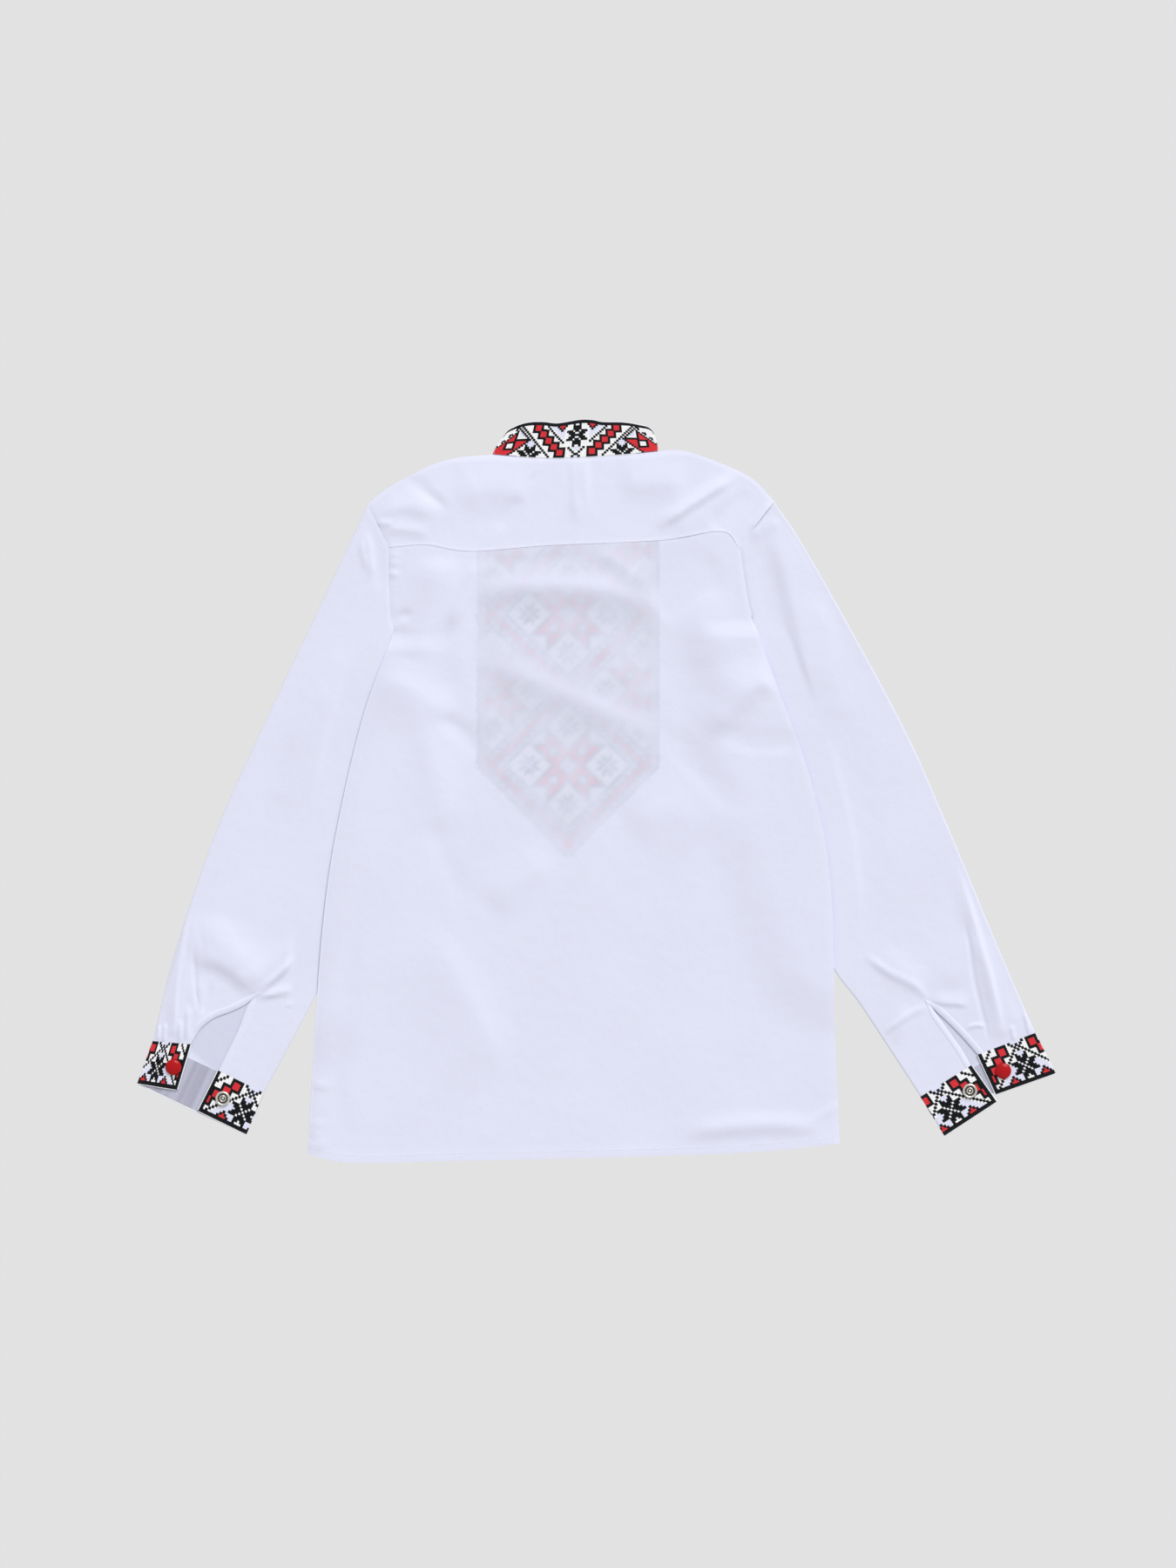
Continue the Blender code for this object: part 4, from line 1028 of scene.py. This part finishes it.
def make_sleeve(sleeve):
    cuff, side = sleeve.cuff, sleeve.cuff.side
    outer = curve(sleeve.outer + (cuff.fold_a_seam,), sleeve_shares(sleeve.outer_share))
    inner = curve(sleeve.inner, sleeve_shares(sleeve.inner_share))
    open_a, open_b, back_a, back_b = slit_lines(sleeve)
    cloth_a = open_a + BINDING_WIDTH * back_a
    cloth_b = open_b + BINDING_WIDTH * back_b

    arm, end = (ARMHOLE_LEFT, YOKE_END_LEFT) if side == "left" else (ARMHOLE_RIGHT, YOKE_END_RIGHT)
    armhole = join(curve(end[::-1], evenly(OUTER_COLUMNS)), curve(arm[::-1], evenly(INNER_COLUMNS)))
    armhole[-1] = inner[0]
    seam_end = armhole[OUTER_COLUMNS]
    down = evenly(SLEEVE_ROWS)[:, None]
    line_a = join((1 - down) * seam_end + down * cloth_a[0], cloth_a)
    line_b = join((1 - down) * seam_end + down * cloth_b[0], cloth_b)
    v = sleeve_shares(SLEEVE_ROWS / (SLEEVE_ROWS + WRIST_ROWS))

    def strip(top, start, finish, columns, left, right):
        u = evenly(columns)
        return coons(top, curve((start, finish), u), left, right, u, v)

    strip_a = strip(armhole[:OUTER_COLUMNS + 1], outer[-1], cloth_a[-1], OUTER_COLUMNS, outer, line_a)
    strip_b = strip(armhole[OUTER_COLUMNS:], cloth_b[-1], inner[-1], INNER_COLUMNS, line_b, inner)
    under = strip(armhole, outer[-1], inner[-1], OUTER_COLUMNS + INNER_COLUMNS, outer, inner)[:, ::-1]
    upper = np.hstack([strip_a, strip_b])
    wrist = [np.array([outer[-1], cloth_a[-1]]), np.array([cloth_b[-1], inner[-1]])]
    opening = np.vstack([open_a, open_b[::-1]])

    def top_height(plan):
        shown = 1 - body_lift(plan, slope=SHOWN_SLOPE) / SLEEVE_LIFT
        from_sides = np.minimum(distance(plan, outer[::4]), distance(plan, inner[::4]))
        from_cuff = np.min([distance(plan, line) for line in wrist], axis=0)
        folds = fold_height(plan, from_sides) * smooth(from_cuff / WRIST_FADE)
        folds += crease_height(plan, sleeve.creases, np.minimum(from_sides, from_cuff))
        dip = SEAM_DIP * (1 - smooth(distance(plan, armhole[::3]) / SEAM_REACH))
        from_slit = np.minimum(distance(plan, open_a), distance(plan, open_b))
        lying = LOWER + SLIT_LIES
        full = UPPER + laid(folds) * shown - dip
        return lying + (full - lying) * smooth(SLIT_SINK + from_slit / SLIT_REACH)

    ring = folded([upper, under], [top_height(upper), LOWER], closed=True)
    tube = cloth("sleeve_%s_cloth" % side, ring, "sleeve_" + side, closed=True,
                 cut_column=TURN_POINTS + OUTER_COLUMNS, shade=show_through_and_shade_cotton)

    # Painted shade on the lower layer's inner face inside the slit, fading out away from the opening
    def shade_inside(spots):
        away = np.where(inside(spots[:, :2], opening), 0.0, distance(spots[:, :2], opening))
        shown = (1 - smooth(away / SHADE_FADE)) * (spots[:, 2] < (UPPER + LOWER) / 2)
        return 1 - shown[:, None] * (1 - np.array(INSIDE_PAINTED_SHADE))

    paint(tube, shade_inside)

    across = evenly(BINDING_STEPS)[:, None, None]
    strip_of_a = np.moveaxis(open_a + (1 - across) * BINDING_WIDTH * back_a, 0, 1)[::-1]
    strip_of_b = np.moveaxis(open_b + (1 - across) * BINDING_WIDTH * back_b, 0, 1)[1:]
    ribbon = np.vstack([strip_of_a, strip_of_b])
    rounded = BINDING_RISE * np.sin(np.pi * evenly(BINDING_STEPS)) ** 0.5
    binding = cloth("slit_binding_%s_cloth" % side, with_height(ribbon, top_height(ribbon) + rounded),
                    "slit_binding_" + side, shade=yoke_cotton)
    return tube, binding


sleeves = {sleeve.cuff.side: make_sleeve(sleeve) for sleeve in (SLEEVE_LEFT, SLEEVE_RIGHT)}


# The cuffs
# Each is a stiff band of doubled cotton, worked all over in cross stitch before it was sewn on. It
# lies open, folded flat at both sides, with its two ends on top.

CUFF_COTTON = 0.0007
BAND_CELLS = 17          # stitches across a cuff or the collar, from its seam to its free edge
STAR_ROW = 6             # from the free edge to the middle of the stars
CROSSING = 15            # from a star's column to where two chains of squares cross
MIDDLE = 40              # from a star to the middle of the large arrow
CUFF_LEGS = 13           # from the free edge to the feet of the black lines below a star
REPEAT_STAR = 16         # stitches from a cuff's end to its first star
CUFF_CELLS_ALONG = {"left": (25, 72), "right": (26, 78)}     # over the outer end, and the rest
CUFF_INSIDE_SHADE_AND_SHOW_THROUGH = (0.6, 0.59, 0.615)     # painted shade, and the stitches that show through from below, darken the cuff's inside
BORDER_SHARE = 0.076     # share of a band's height that its border takes
END_SHARE = 0.0125       # share of a cuff's length that the border of each end takes
BEND_REACH = 0.0026      # stitches this near a fold follow it, in this many parts
BEND_PARTS = 3
# Waves of painted light and shade from small gathers on the cuff's inside: depth and length of each
INSIDE_SHADE_WAVES = ((0.05, 0.023), (0.04, 0.0093), (0.03, 0.0052))
END_COLUMNS = 30
UNDER_COLUMNS = 56
EDGE_ROLL = 0.0005       # radius of the white edge
ROLL_SIDES = 6


def band_chart(across, down, legs):
    """Stitches of a band: across from a star, down from the free edge, both in whole stitches.

    The design goes from a star, past a chain of squares, to a large arrow in the middle between
    two stars, and turns round there.
    """
    across, down = np.broadcast_arrays(across, down)
    across = np.abs(np.where(across > MIDDLE, 2 * MIDDLE - across, across))
    rising, falling = across - down, across + down
    chart = np.full(across.shape, WHITE)
    chart[diamond(across, down - CROSSING + 4, 2)] = BARE
    chart[(across <= 2) & (down - across > legs - CROSSING + 15)] = BARE
    chart[(falling < CROSSING - 1) & (across > 2) & (rising > -STAR_ROW + 1)] = BARE
    chart[star(across, down - STAR_ROW)] = BLACK
    for diagonal in (CROSSING, CROSSING + 13):
        chart[falling == diagonal] = BLACK
    chart[-rising == legs] = BLACK
    chart[diamond(across - 21, down - 10, 2)] = BARE
    chart[star(across - 21, down - 16)] = BLACK
    stripe = (rising >= 14) & (rising <= 26) & (falling >= 30)
    chart[stripe] = BLACK
    chart[(rising >= 15) & (rising <= 25) & (falling >= 31)] = RED
    chart[(across <= 29) & (down <= 8) & stripe] = BLACK
    chart[(across < 29) & (down < 8) & (falling > 30)] = WHITE
    chart[(across < 28) & (down < 7) & (falling > CROSSING + 15)] = BARE
    chart[block(across - 31, down - 11, 2)] = BLACK
    chart[block(across - 31, down - 11, 1)] = WHITE
    chart[(rising > 27) & (rising < 30) & (falling % 6 < 3)] = BLACK
    chart[(across >= 38) & (down > 11)] = BLACK
    chart[(across >= 39) & (down > 11)] = RED
    framed_squares(chart, across, down, [(7 + 3 * k, 14 - 3 * k) for k in range(5)])
    for row, reach in ((1, 2), (2, 1), (3, 0)):
        beside = np.abs(across - 7)
        chart[(down == row) & (beside <= reach)] = BLACK
        chart[(down == row) & (beside < reach)] = RED
    chart[down == 0] = BLACK
    return chart


def band_corners(band, shares):
    """Corners of a band's stitches: its rows, the last one wider, and its length at the shares."""
    across = np.stack([along(line, shares) for line in band])
    down = spaced((1 - BORDER_SHARE, BAND_CELLS - 1), (1.0, 1))
    return np.stack([along(across[:, number], down) for number in range(len(shares))], axis=1)


def at_bends(band, shares, chart):
    """Shares and chart with the stitches at a band's folds split up, so that they follow the bend."""
    line = band[BAND_CELLS // 2]
    run = np.append(0.0, np.cumsum(steps_along(line)))
    above = line[:, 2] > (UPPER + LOWER) / 2
    bends = run[1:][above[1:] != above[:-1]] / run[-1]
    centres = (shares[1:] + shares[:-1]) / 2
    near = np.abs(centres[:, None] - bends).min(axis=1) < BEND_REACH / run[-1]
    parts = np.where(near, BEND_PARTS, 1)
    split = [start + (end - start) * evenly(count)[:-1]
             for start, end, count in zip(shares[:-1], shares[1:], parts)]
    return np.append(np.concatenate(split), shares[-1]), np.repeat(chart, parts, axis=1)


def outer_face(corners, outwards):
    """The grid of corners moved from the middle of the cloth to its outer face."""
    lengthways, crossways = np.gradient(corners, axis=1), np.gradient(corners, axis=0)
    return corners + unit(np.cross(lengthways, crossways) * outwards) * CUFF_COTTON / 2


def rolled_edge(name, edge, beside, radius=EDGE_ROLL):
    """A thin white roll just outside an edge, away from the line of points beside it."""
    out = edge - beside
    line = edge + EDGE_ROLL * out / np.linalg.norm(out, axis=1)[:, None]
    run = unit(np.gradient(line, axis=0))
    level = np.column_stack([-run[:, 1], run[:, 0], np.zeros(len(run))])
    level /= np.maximum(np.linalg.norm(level, axis=1), SAME_POINT)[:, None]
    upright = np.cross(run, level)
    turns = np.linspace(0, math.tau, ROLL_SIDES, endpoint=False)
    ring = [line + radius * (math.cos(turn) * level + math.sin(turn) * upright) for turn in turns]
    mesh = grid_mesh(name, np.stack(ring, axis=1), closed=True)
    return piece(name, mesh, edge_cotton)


def embroider(name, band, shares, chart, outwards):
    """Cross stitches over the outer face of a band, with more of them at its folds."""
    chart[:, (0, -1)] = BLACK
    shares, chart = at_bends(band, shares, chart)
    face = outer_face(band_corners(band, shares), outwards)
    if outwards < 0:
        face, chart = face[::-1], chart[::-1]
    return cross_stitches(name + "_embroidery", face, chart)


def between(seam, edge):
    share = evenly(BAND_CELLS)[:, None, None]
    return (1 - share) * seam + share * edge


BAND_ROWS = BAND_CELLS - 1 - np.arange(BAND_CELLS)[:, None]     # counted from the free edge
edge_cotton = woven_material("white_edge", (0.93, 0.94, 0.98))


def make_cuff(cuff):
    def part(seam, hem, columns):
        at = evenly(columns)
        return between(curve(seam, at), curve(hem, at))

    plans = [part((cuff.end_a_seam, cuff.fold_a_seam), (cuff.end_a_hem, cuff.fold_a_hem), END_COLUMNS),
             part((cuff.fold_a_seam, cuff.fold_b_seam),
                  (cuff.fold_a_hem, cuff.under_hem, cuff.fold_b_hem), UNDER_COLUMNS),
             part((cuff.fold_b_seam, cuff.end_b_seam), (cuff.fold_b_hem, cuff.end_b_hem), END_COLUMNS)]
    band = folded(plans, [UPPER, LOWER, UPPER])
    name = "cuff_" + cuff.side
    body = cloth(name + "_cloth", band, name, slot="embroidered_cotton", thickness=CUFF_COTTON,
                 shade=show_through_and_shade_cotton)
    along_cuff = unit(np.subtract(cuff.fold_b_hem, cuff.fold_a_hem))

    # Painted shade on the inside of the cuff's lower layer, with its stitches showing through, and
    # waves of painted shading from small gathers
    def shade_inside(spots):
        run = (spots[:, :2] - cuff.fold_a_hem) @ along_cuff
        waves = sum(height * np.sin(math.tau * run / length) for height, length in INSIDE_SHADE_WAVES)
        inner = (spots[:, 2] < (UPPER + LOWER) / 2)[:, None]
        return np.where(inner, np.array(CUFF_INSIDE_SHADE_AND_SHOW_THROUGH) + waves[:, None], 1.0)

    paint(body, shade_inside)

    cells = CUFF_CELLS_ALONG[cuff.side]
    columns = sum(cells)
    lengths = steps_along(band[BAND_CELLS // 2])
    first = lengths[:END_COLUMNS].sum() / lengths.sum()
    run = np.arange(columns)
    from_star = np.minimum(np.abs(run - REPEAT_STAR), np.abs(columns - 1 - REPEAT_STAR - run))
    chart = band_chart(from_star, BAND_ROWS, CUFF_LEGS)
    shares = spaced((END_SHARE, 1), (first, cells[0] - 1), (1 - END_SHARE, cells[1] - 1), (1.0, 1))
    along_seam, upwards = band[0, 1] - band[0, 0], band[1, 0] - band[0, 0]
    outwards = 1 if np.cross(along_seam, upwards)[2] > 0 else -1
    trims = embroider(name, band, shares, chart, outwards)
    trims.append(rolled_edge(name + "_edge", band[-1], band[-2]))
    for word, column, beside in (("a", 0, 1), ("b", -1, -2)):
        trims.append(rolled_edge(name + "_end_" + word, band[:, column], band[:, beside]))
    return body, trims


cuffs = {cuff.side: make_cuff(cuff) for cuff in (CUFF_LEFT, CUFF_RIGHT)}


# The collar
# A stand band of doubled cotton, cross stitched like the cuffs, sewn round the neck and open at the
# centre front. It lies folded flat at both sides, its back on top.

COLLAR_HEIGHT = 0.03
COLLAR_LEGS = 15         # as for the cuffs
COLLAR_CELL = 0.00163
COLLAR_ROLL = 0.0003     # its rolled edge is finer than the cuffs'
COLLAR_TOP_BACK = ((-0.073, 0.275), (-0.069, 0.2805), (-0.061, 0.285), (-0.052, 0.2873),
                   (-0.041, 0.2876), (-0.03, 0.2866), (-0.013, 0.2893), (-0.003, 0.2892),
                   (0.005, 0.2876), (0.0207, 0.2873), (0.031, 0.2858), (0.039, 0.2838),
                   (0.0432, 0.281), (0.045, 0.2775))
COLLAR_BULGE = 0.001     # its folds bulge out this much halfway up
COLLAR_TOP_FRONT = ((-0.073, 0.275), (-0.056, 0.253), (-0.038, 0.237),
                    (-0.0165, 0.201 + COLLAR_HEIGHT), (0.005, 0.238), (0.024, 0.256),
                    (0.045, 0.2775))
NECK_COLUMNS = 80

def collar_star(across, down):
    """The star at the back of the collar: its middle column is two stitches wide."""
    rows = np.abs(down)
    sideways_arms = (rows <= 2) & (across >= rows) & (across <= rows + 2)
    upright_arms = (rows >= 3) & (rows <= 5) & (across <= 1) & ~((rows == 5) & (across == 0))
    return sideways_arms | upright_arms | ((rows == 2) & (across == 0))


at_neck = evenly(NECK_COLUMNS)
neck = curve(NECK_FRONT, at_neck)
front_edge = curve(COLLAR_TOP_FRONT, at_neck)
middle = NECK_COLUMNS // 2
collar_plans = [
    inset(between(neck[middle::-1], front_edge[middle::-1]),
          left=NECK_SLIT / 2, right=GAP, first=GAP / 2),
    inset(between(curve(NECK_BACK, at_neck), curve(COLLAR_TOP_BACK, at_neck)),
          left=GAP, right=GAP, first=2 * GAP),
    inset(between(neck[:middle - 1:-1], front_edge[:middle - 1:-1]),
          left=GAP, right=NECK_SLIT / 2, first=GAP / 2)]
bulge = COLLAR_BULGE * np.sin(np.pi * evenly(BAND_CELLS))[:, None]
for plan, left, right in zip(collar_plans, (0, -1, 1), (-1, 1, 0)):
    share = evenly(plan.shape[1] - 1)
    plan[..., 0] += bulge * (left * (1 - share) ** 4 + right * share ** 4)
collar_band = folded(collar_plans, [LOWER, UPPER, LOWER])
collar = cloth("collar_cloth", collar_band, "collar", slot="embroidered_cotton", thickness=CUFF_COTTON)
half = round(steps_along(collar_band[BAND_CELLS // 2]).sum() / COLLAR_CELL / 2)
run = np.arange(2 * half)
from_middle = np.where(run < half, half - 1 - run, run - half)
chart = band_chart(from_middle, BAND_ROWS, COLLAR_LEGS)
down = BAND_ROWS - STAR_ROW
chart[diamond(from_middle, down, 9) & block(from_middle, down, STAR_ARM)] = WHITE
chart[collar_star(from_middle, down)] = BLACK
collar_stitches = embroider("collar", collar_band, evenly(2 * half), chart, 1)
collar_edge = rolled_edge("collar_edge", collar_band[-1], collar_band[-2], COLLAR_ROLL)


# The snaps
# Each cuff closes with a press snap. A glossy red domed cap is set at its outer end and a pale metal
# ring, the snap's other half, at its inner end.

CAP_RADIUS = 0.00625
CAP_HEIGHT = 0.003
RING_RADIUS = 0.00575
RING_HEIGHT = 0.0018
LIP_RADIUS = 0.0022
LIP_THICK = 0.00045
STUD_RADIUS = 0.0011
STUD_HEIGHT = 0.0009
TURN_STEPS = 72


def plain_material(name, color, roughness, metallic=0.0, gloss=0.5):
    """Enamel or metal, a little more worn in places."""
    shade, shader, place = new_material(name, {
        "Metallic": metallic, "Specular IOR Level": gloss, "Base Color": (*color, 1.0)})
    wear = add_node(shade, "TexNoise", {"Scale": 900.0, "Vector": place})
    spread = add_node(shade, "MapRange", {
        "To Min": roughness * 0.8, "To Max": roughness * 1.3, "Value": wear.outputs["Fac"]})
    feed(shade, shader, {"Roughness": spread.outputs["Result"]})
    return shade


cap_red = plain_material("cap_enamel", (0.44, 0.004, 0.007), 0.2, gloss=0.22)
pale_metal = plain_material("snap_metal", (0.78, 0.76, 0.7), 0.3, metallic=0.85)
dark_metal = plain_material("snap_hollow", (0.1, 0.09, 0.09), 0.45, metallic=0.6)


def turned(name, profile, spot, shade, node=None):
    """A piece turned from a half section, columns radius and height, standing on a cuff's end."""
    turns = np.linspace(0, math.tau, TURN_STEPS, endpoint=False)
    radius, rise = np.array(profile).T
    rings = [np.column_stack([radius * math.cos(turn), radius * math.sin(turn), rise])
             for turn in turns]
    points = np.stack(rings, axis=1) + (*spot, UPPER + WALL / 2 + GAP)
    mesh = grid_mesh(name, points, closed=True)
    mesh.set_sharp_from_angle(angle=math.radians(40))
    return piece(name, mesh, shade, [node] if node else [])


def arc(radius, rise, start, end, count, middle=(0.0, 0.0)):
    """Points of a half section along part of an ellipse, between two angles in degrees."""
    return [(middle[0] + radius * math.cos(turn), middle[1] + rise * math.sin(turn))
            for turn in np.radians(np.linspace(start, end, count))]


def make_snap(cuff):
    rim = CAP_HEIGHT / 5
    dome = arc(CAP_RADIUS, CAP_HEIGHT - rim, 90, 0, 14, (0.0, rim))
    profile = [*dome, (CAP_RADIUS * 0.985, rim / 2), (CAP_RADIUS * 0.93, 0.0), (0.0, 0.0)]
    turned("snap_cap_%s_dome" % cuff.side, profile[::-1], cuff.cap, cap_red,
           "snap_cap_" + cuff.side)

    bead = RING_HEIGHT / 2
    middle = RING_RADIUS - bead
    floor = RING_HEIGHT / 5
    flat = middle - bead * 0.4
    lip = arc(LIP_THICK, LIP_THICK, -20, 200, 10, (LIP_RADIUS, floor + LIP_THICK))
    parts = (
        ("bead", pale_metal, [(middle, 0.0), *arc(bead, bead, -60, 210, 16, (middle, bead)),
                              (middle - bead, 0.0002)]),
        ("floor", dark_metal, [(0.0, 0.0), (flat, 0.0), (flat, floor), (0.0, floor)]),
        ("lip", pale_metal, [(LIP_RADIUS + LIP_THICK, floor), *lip, (LIP_RADIUS - LIP_THICK, floor)]),
        ("stud", pale_metal, [(STUD_RADIUS, floor),
                              *arc(STUD_RADIUS, STUD_HEIGHT, 0, 90, 8, (0.0, floor))]),
    )
    for word, metal, section in parts:
        turned("snap_ring_%s_%s" % (cuff.side, word), section, cuff.ring, metal,
               "snap_ring_" + cuff.side if word == "bead" else None)


for cuff in (CUFF_LEFT, CUFF_RIGHT):
    make_snap(cuff)


# The light and the camera
# The shirt is seen from straight above on a plain pale grey ground, in a soft light from the collar's
# side, as on a cut-out picture.

GROUND_COLOR = (0.7605, 0.7605, 0.7605)
SCALE = 0.00068          # metres a pixel
PICTURE_HEIGHT = 1800
LENS = 85.0
SENSOR = 36.0
VIEW_MIDDLE = (-0.0065, 0.0054)
SHIRT_LEVEL = 0.002
GROUND_LEVEL = -0.0004
GROUND_REACH = 20.0
SUN_STRENGTH = 2.15
SUN_HEIGHT = 38.0        # degrees, as are the next two
SUN_WIDTH = 35.0
SUN_BEARING = 26.0       # degrees from the collar's side towards the right
SKY = 0.57

world = bpy.data.worlds.new("soft_sky")
world.use_nodes = True
sky = world.node_tree.nodes["Background"]
sky.inputs["Color"].default_value = (1.0, 1.0, 1.0, 1.0)
sky.inputs["Strength"].default_value = SKY
bpy.context.scene.world = world

sun_data = bpy.data.lights.new("key_light", "SUN")
sun_data.energy = SUN_STRENGTH
sun_data.angle = math.radians(SUN_WIDTH)
sun = placed("key_light", sun_data)
sun.rotation_euler = (math.radians(SUN_HEIGHT - 90), 0.0, math.radians(-SUN_BEARING))

square = [(across * GROUND_REACH, up * GROUND_REACH, GROUND_LEVEL)
          for across, up in ((-1, -1), (1, -1), (1, 1), (-1, 1))]
ground_mesh = new_mesh("ground", square, [(0, 1, 2, 3)])
ground_shade = bpy.data.materials.new("pale_ground")
ground_shade.use_nodes = True
ground_nodes = ground_shade.node_tree.nodes
glow = add_node(ground_shade, "Emission", {"Color": (*GROUND_COLOR, 1.0)})
feed(ground_shade, ground_nodes["Material Output"], {"Surface": glow.outputs["Emission"]})
ground_nodes.remove(ground_nodes["Principled BSDF"])
ground_mesh.materials.append(ground_shade)
ground = placed("ground", ground_mesh)

camera_data = bpy.data.cameras.new("camera")
camera_data.lens = LENS
camera_data.sensor_width = SENSOR
camera_data.clip_end = 100.0
camera = placed("camera", camera_data)
distance_up = LENS / SENSOR * SCALE * PICTURE_HEIGHT
camera.location = (*VIEW_MIDDLE, SHIRT_LEVEL + distance_up)
bpy.context.scene.camera = camera
bpy.context.scene.view_settings.view_transform = "Standard"
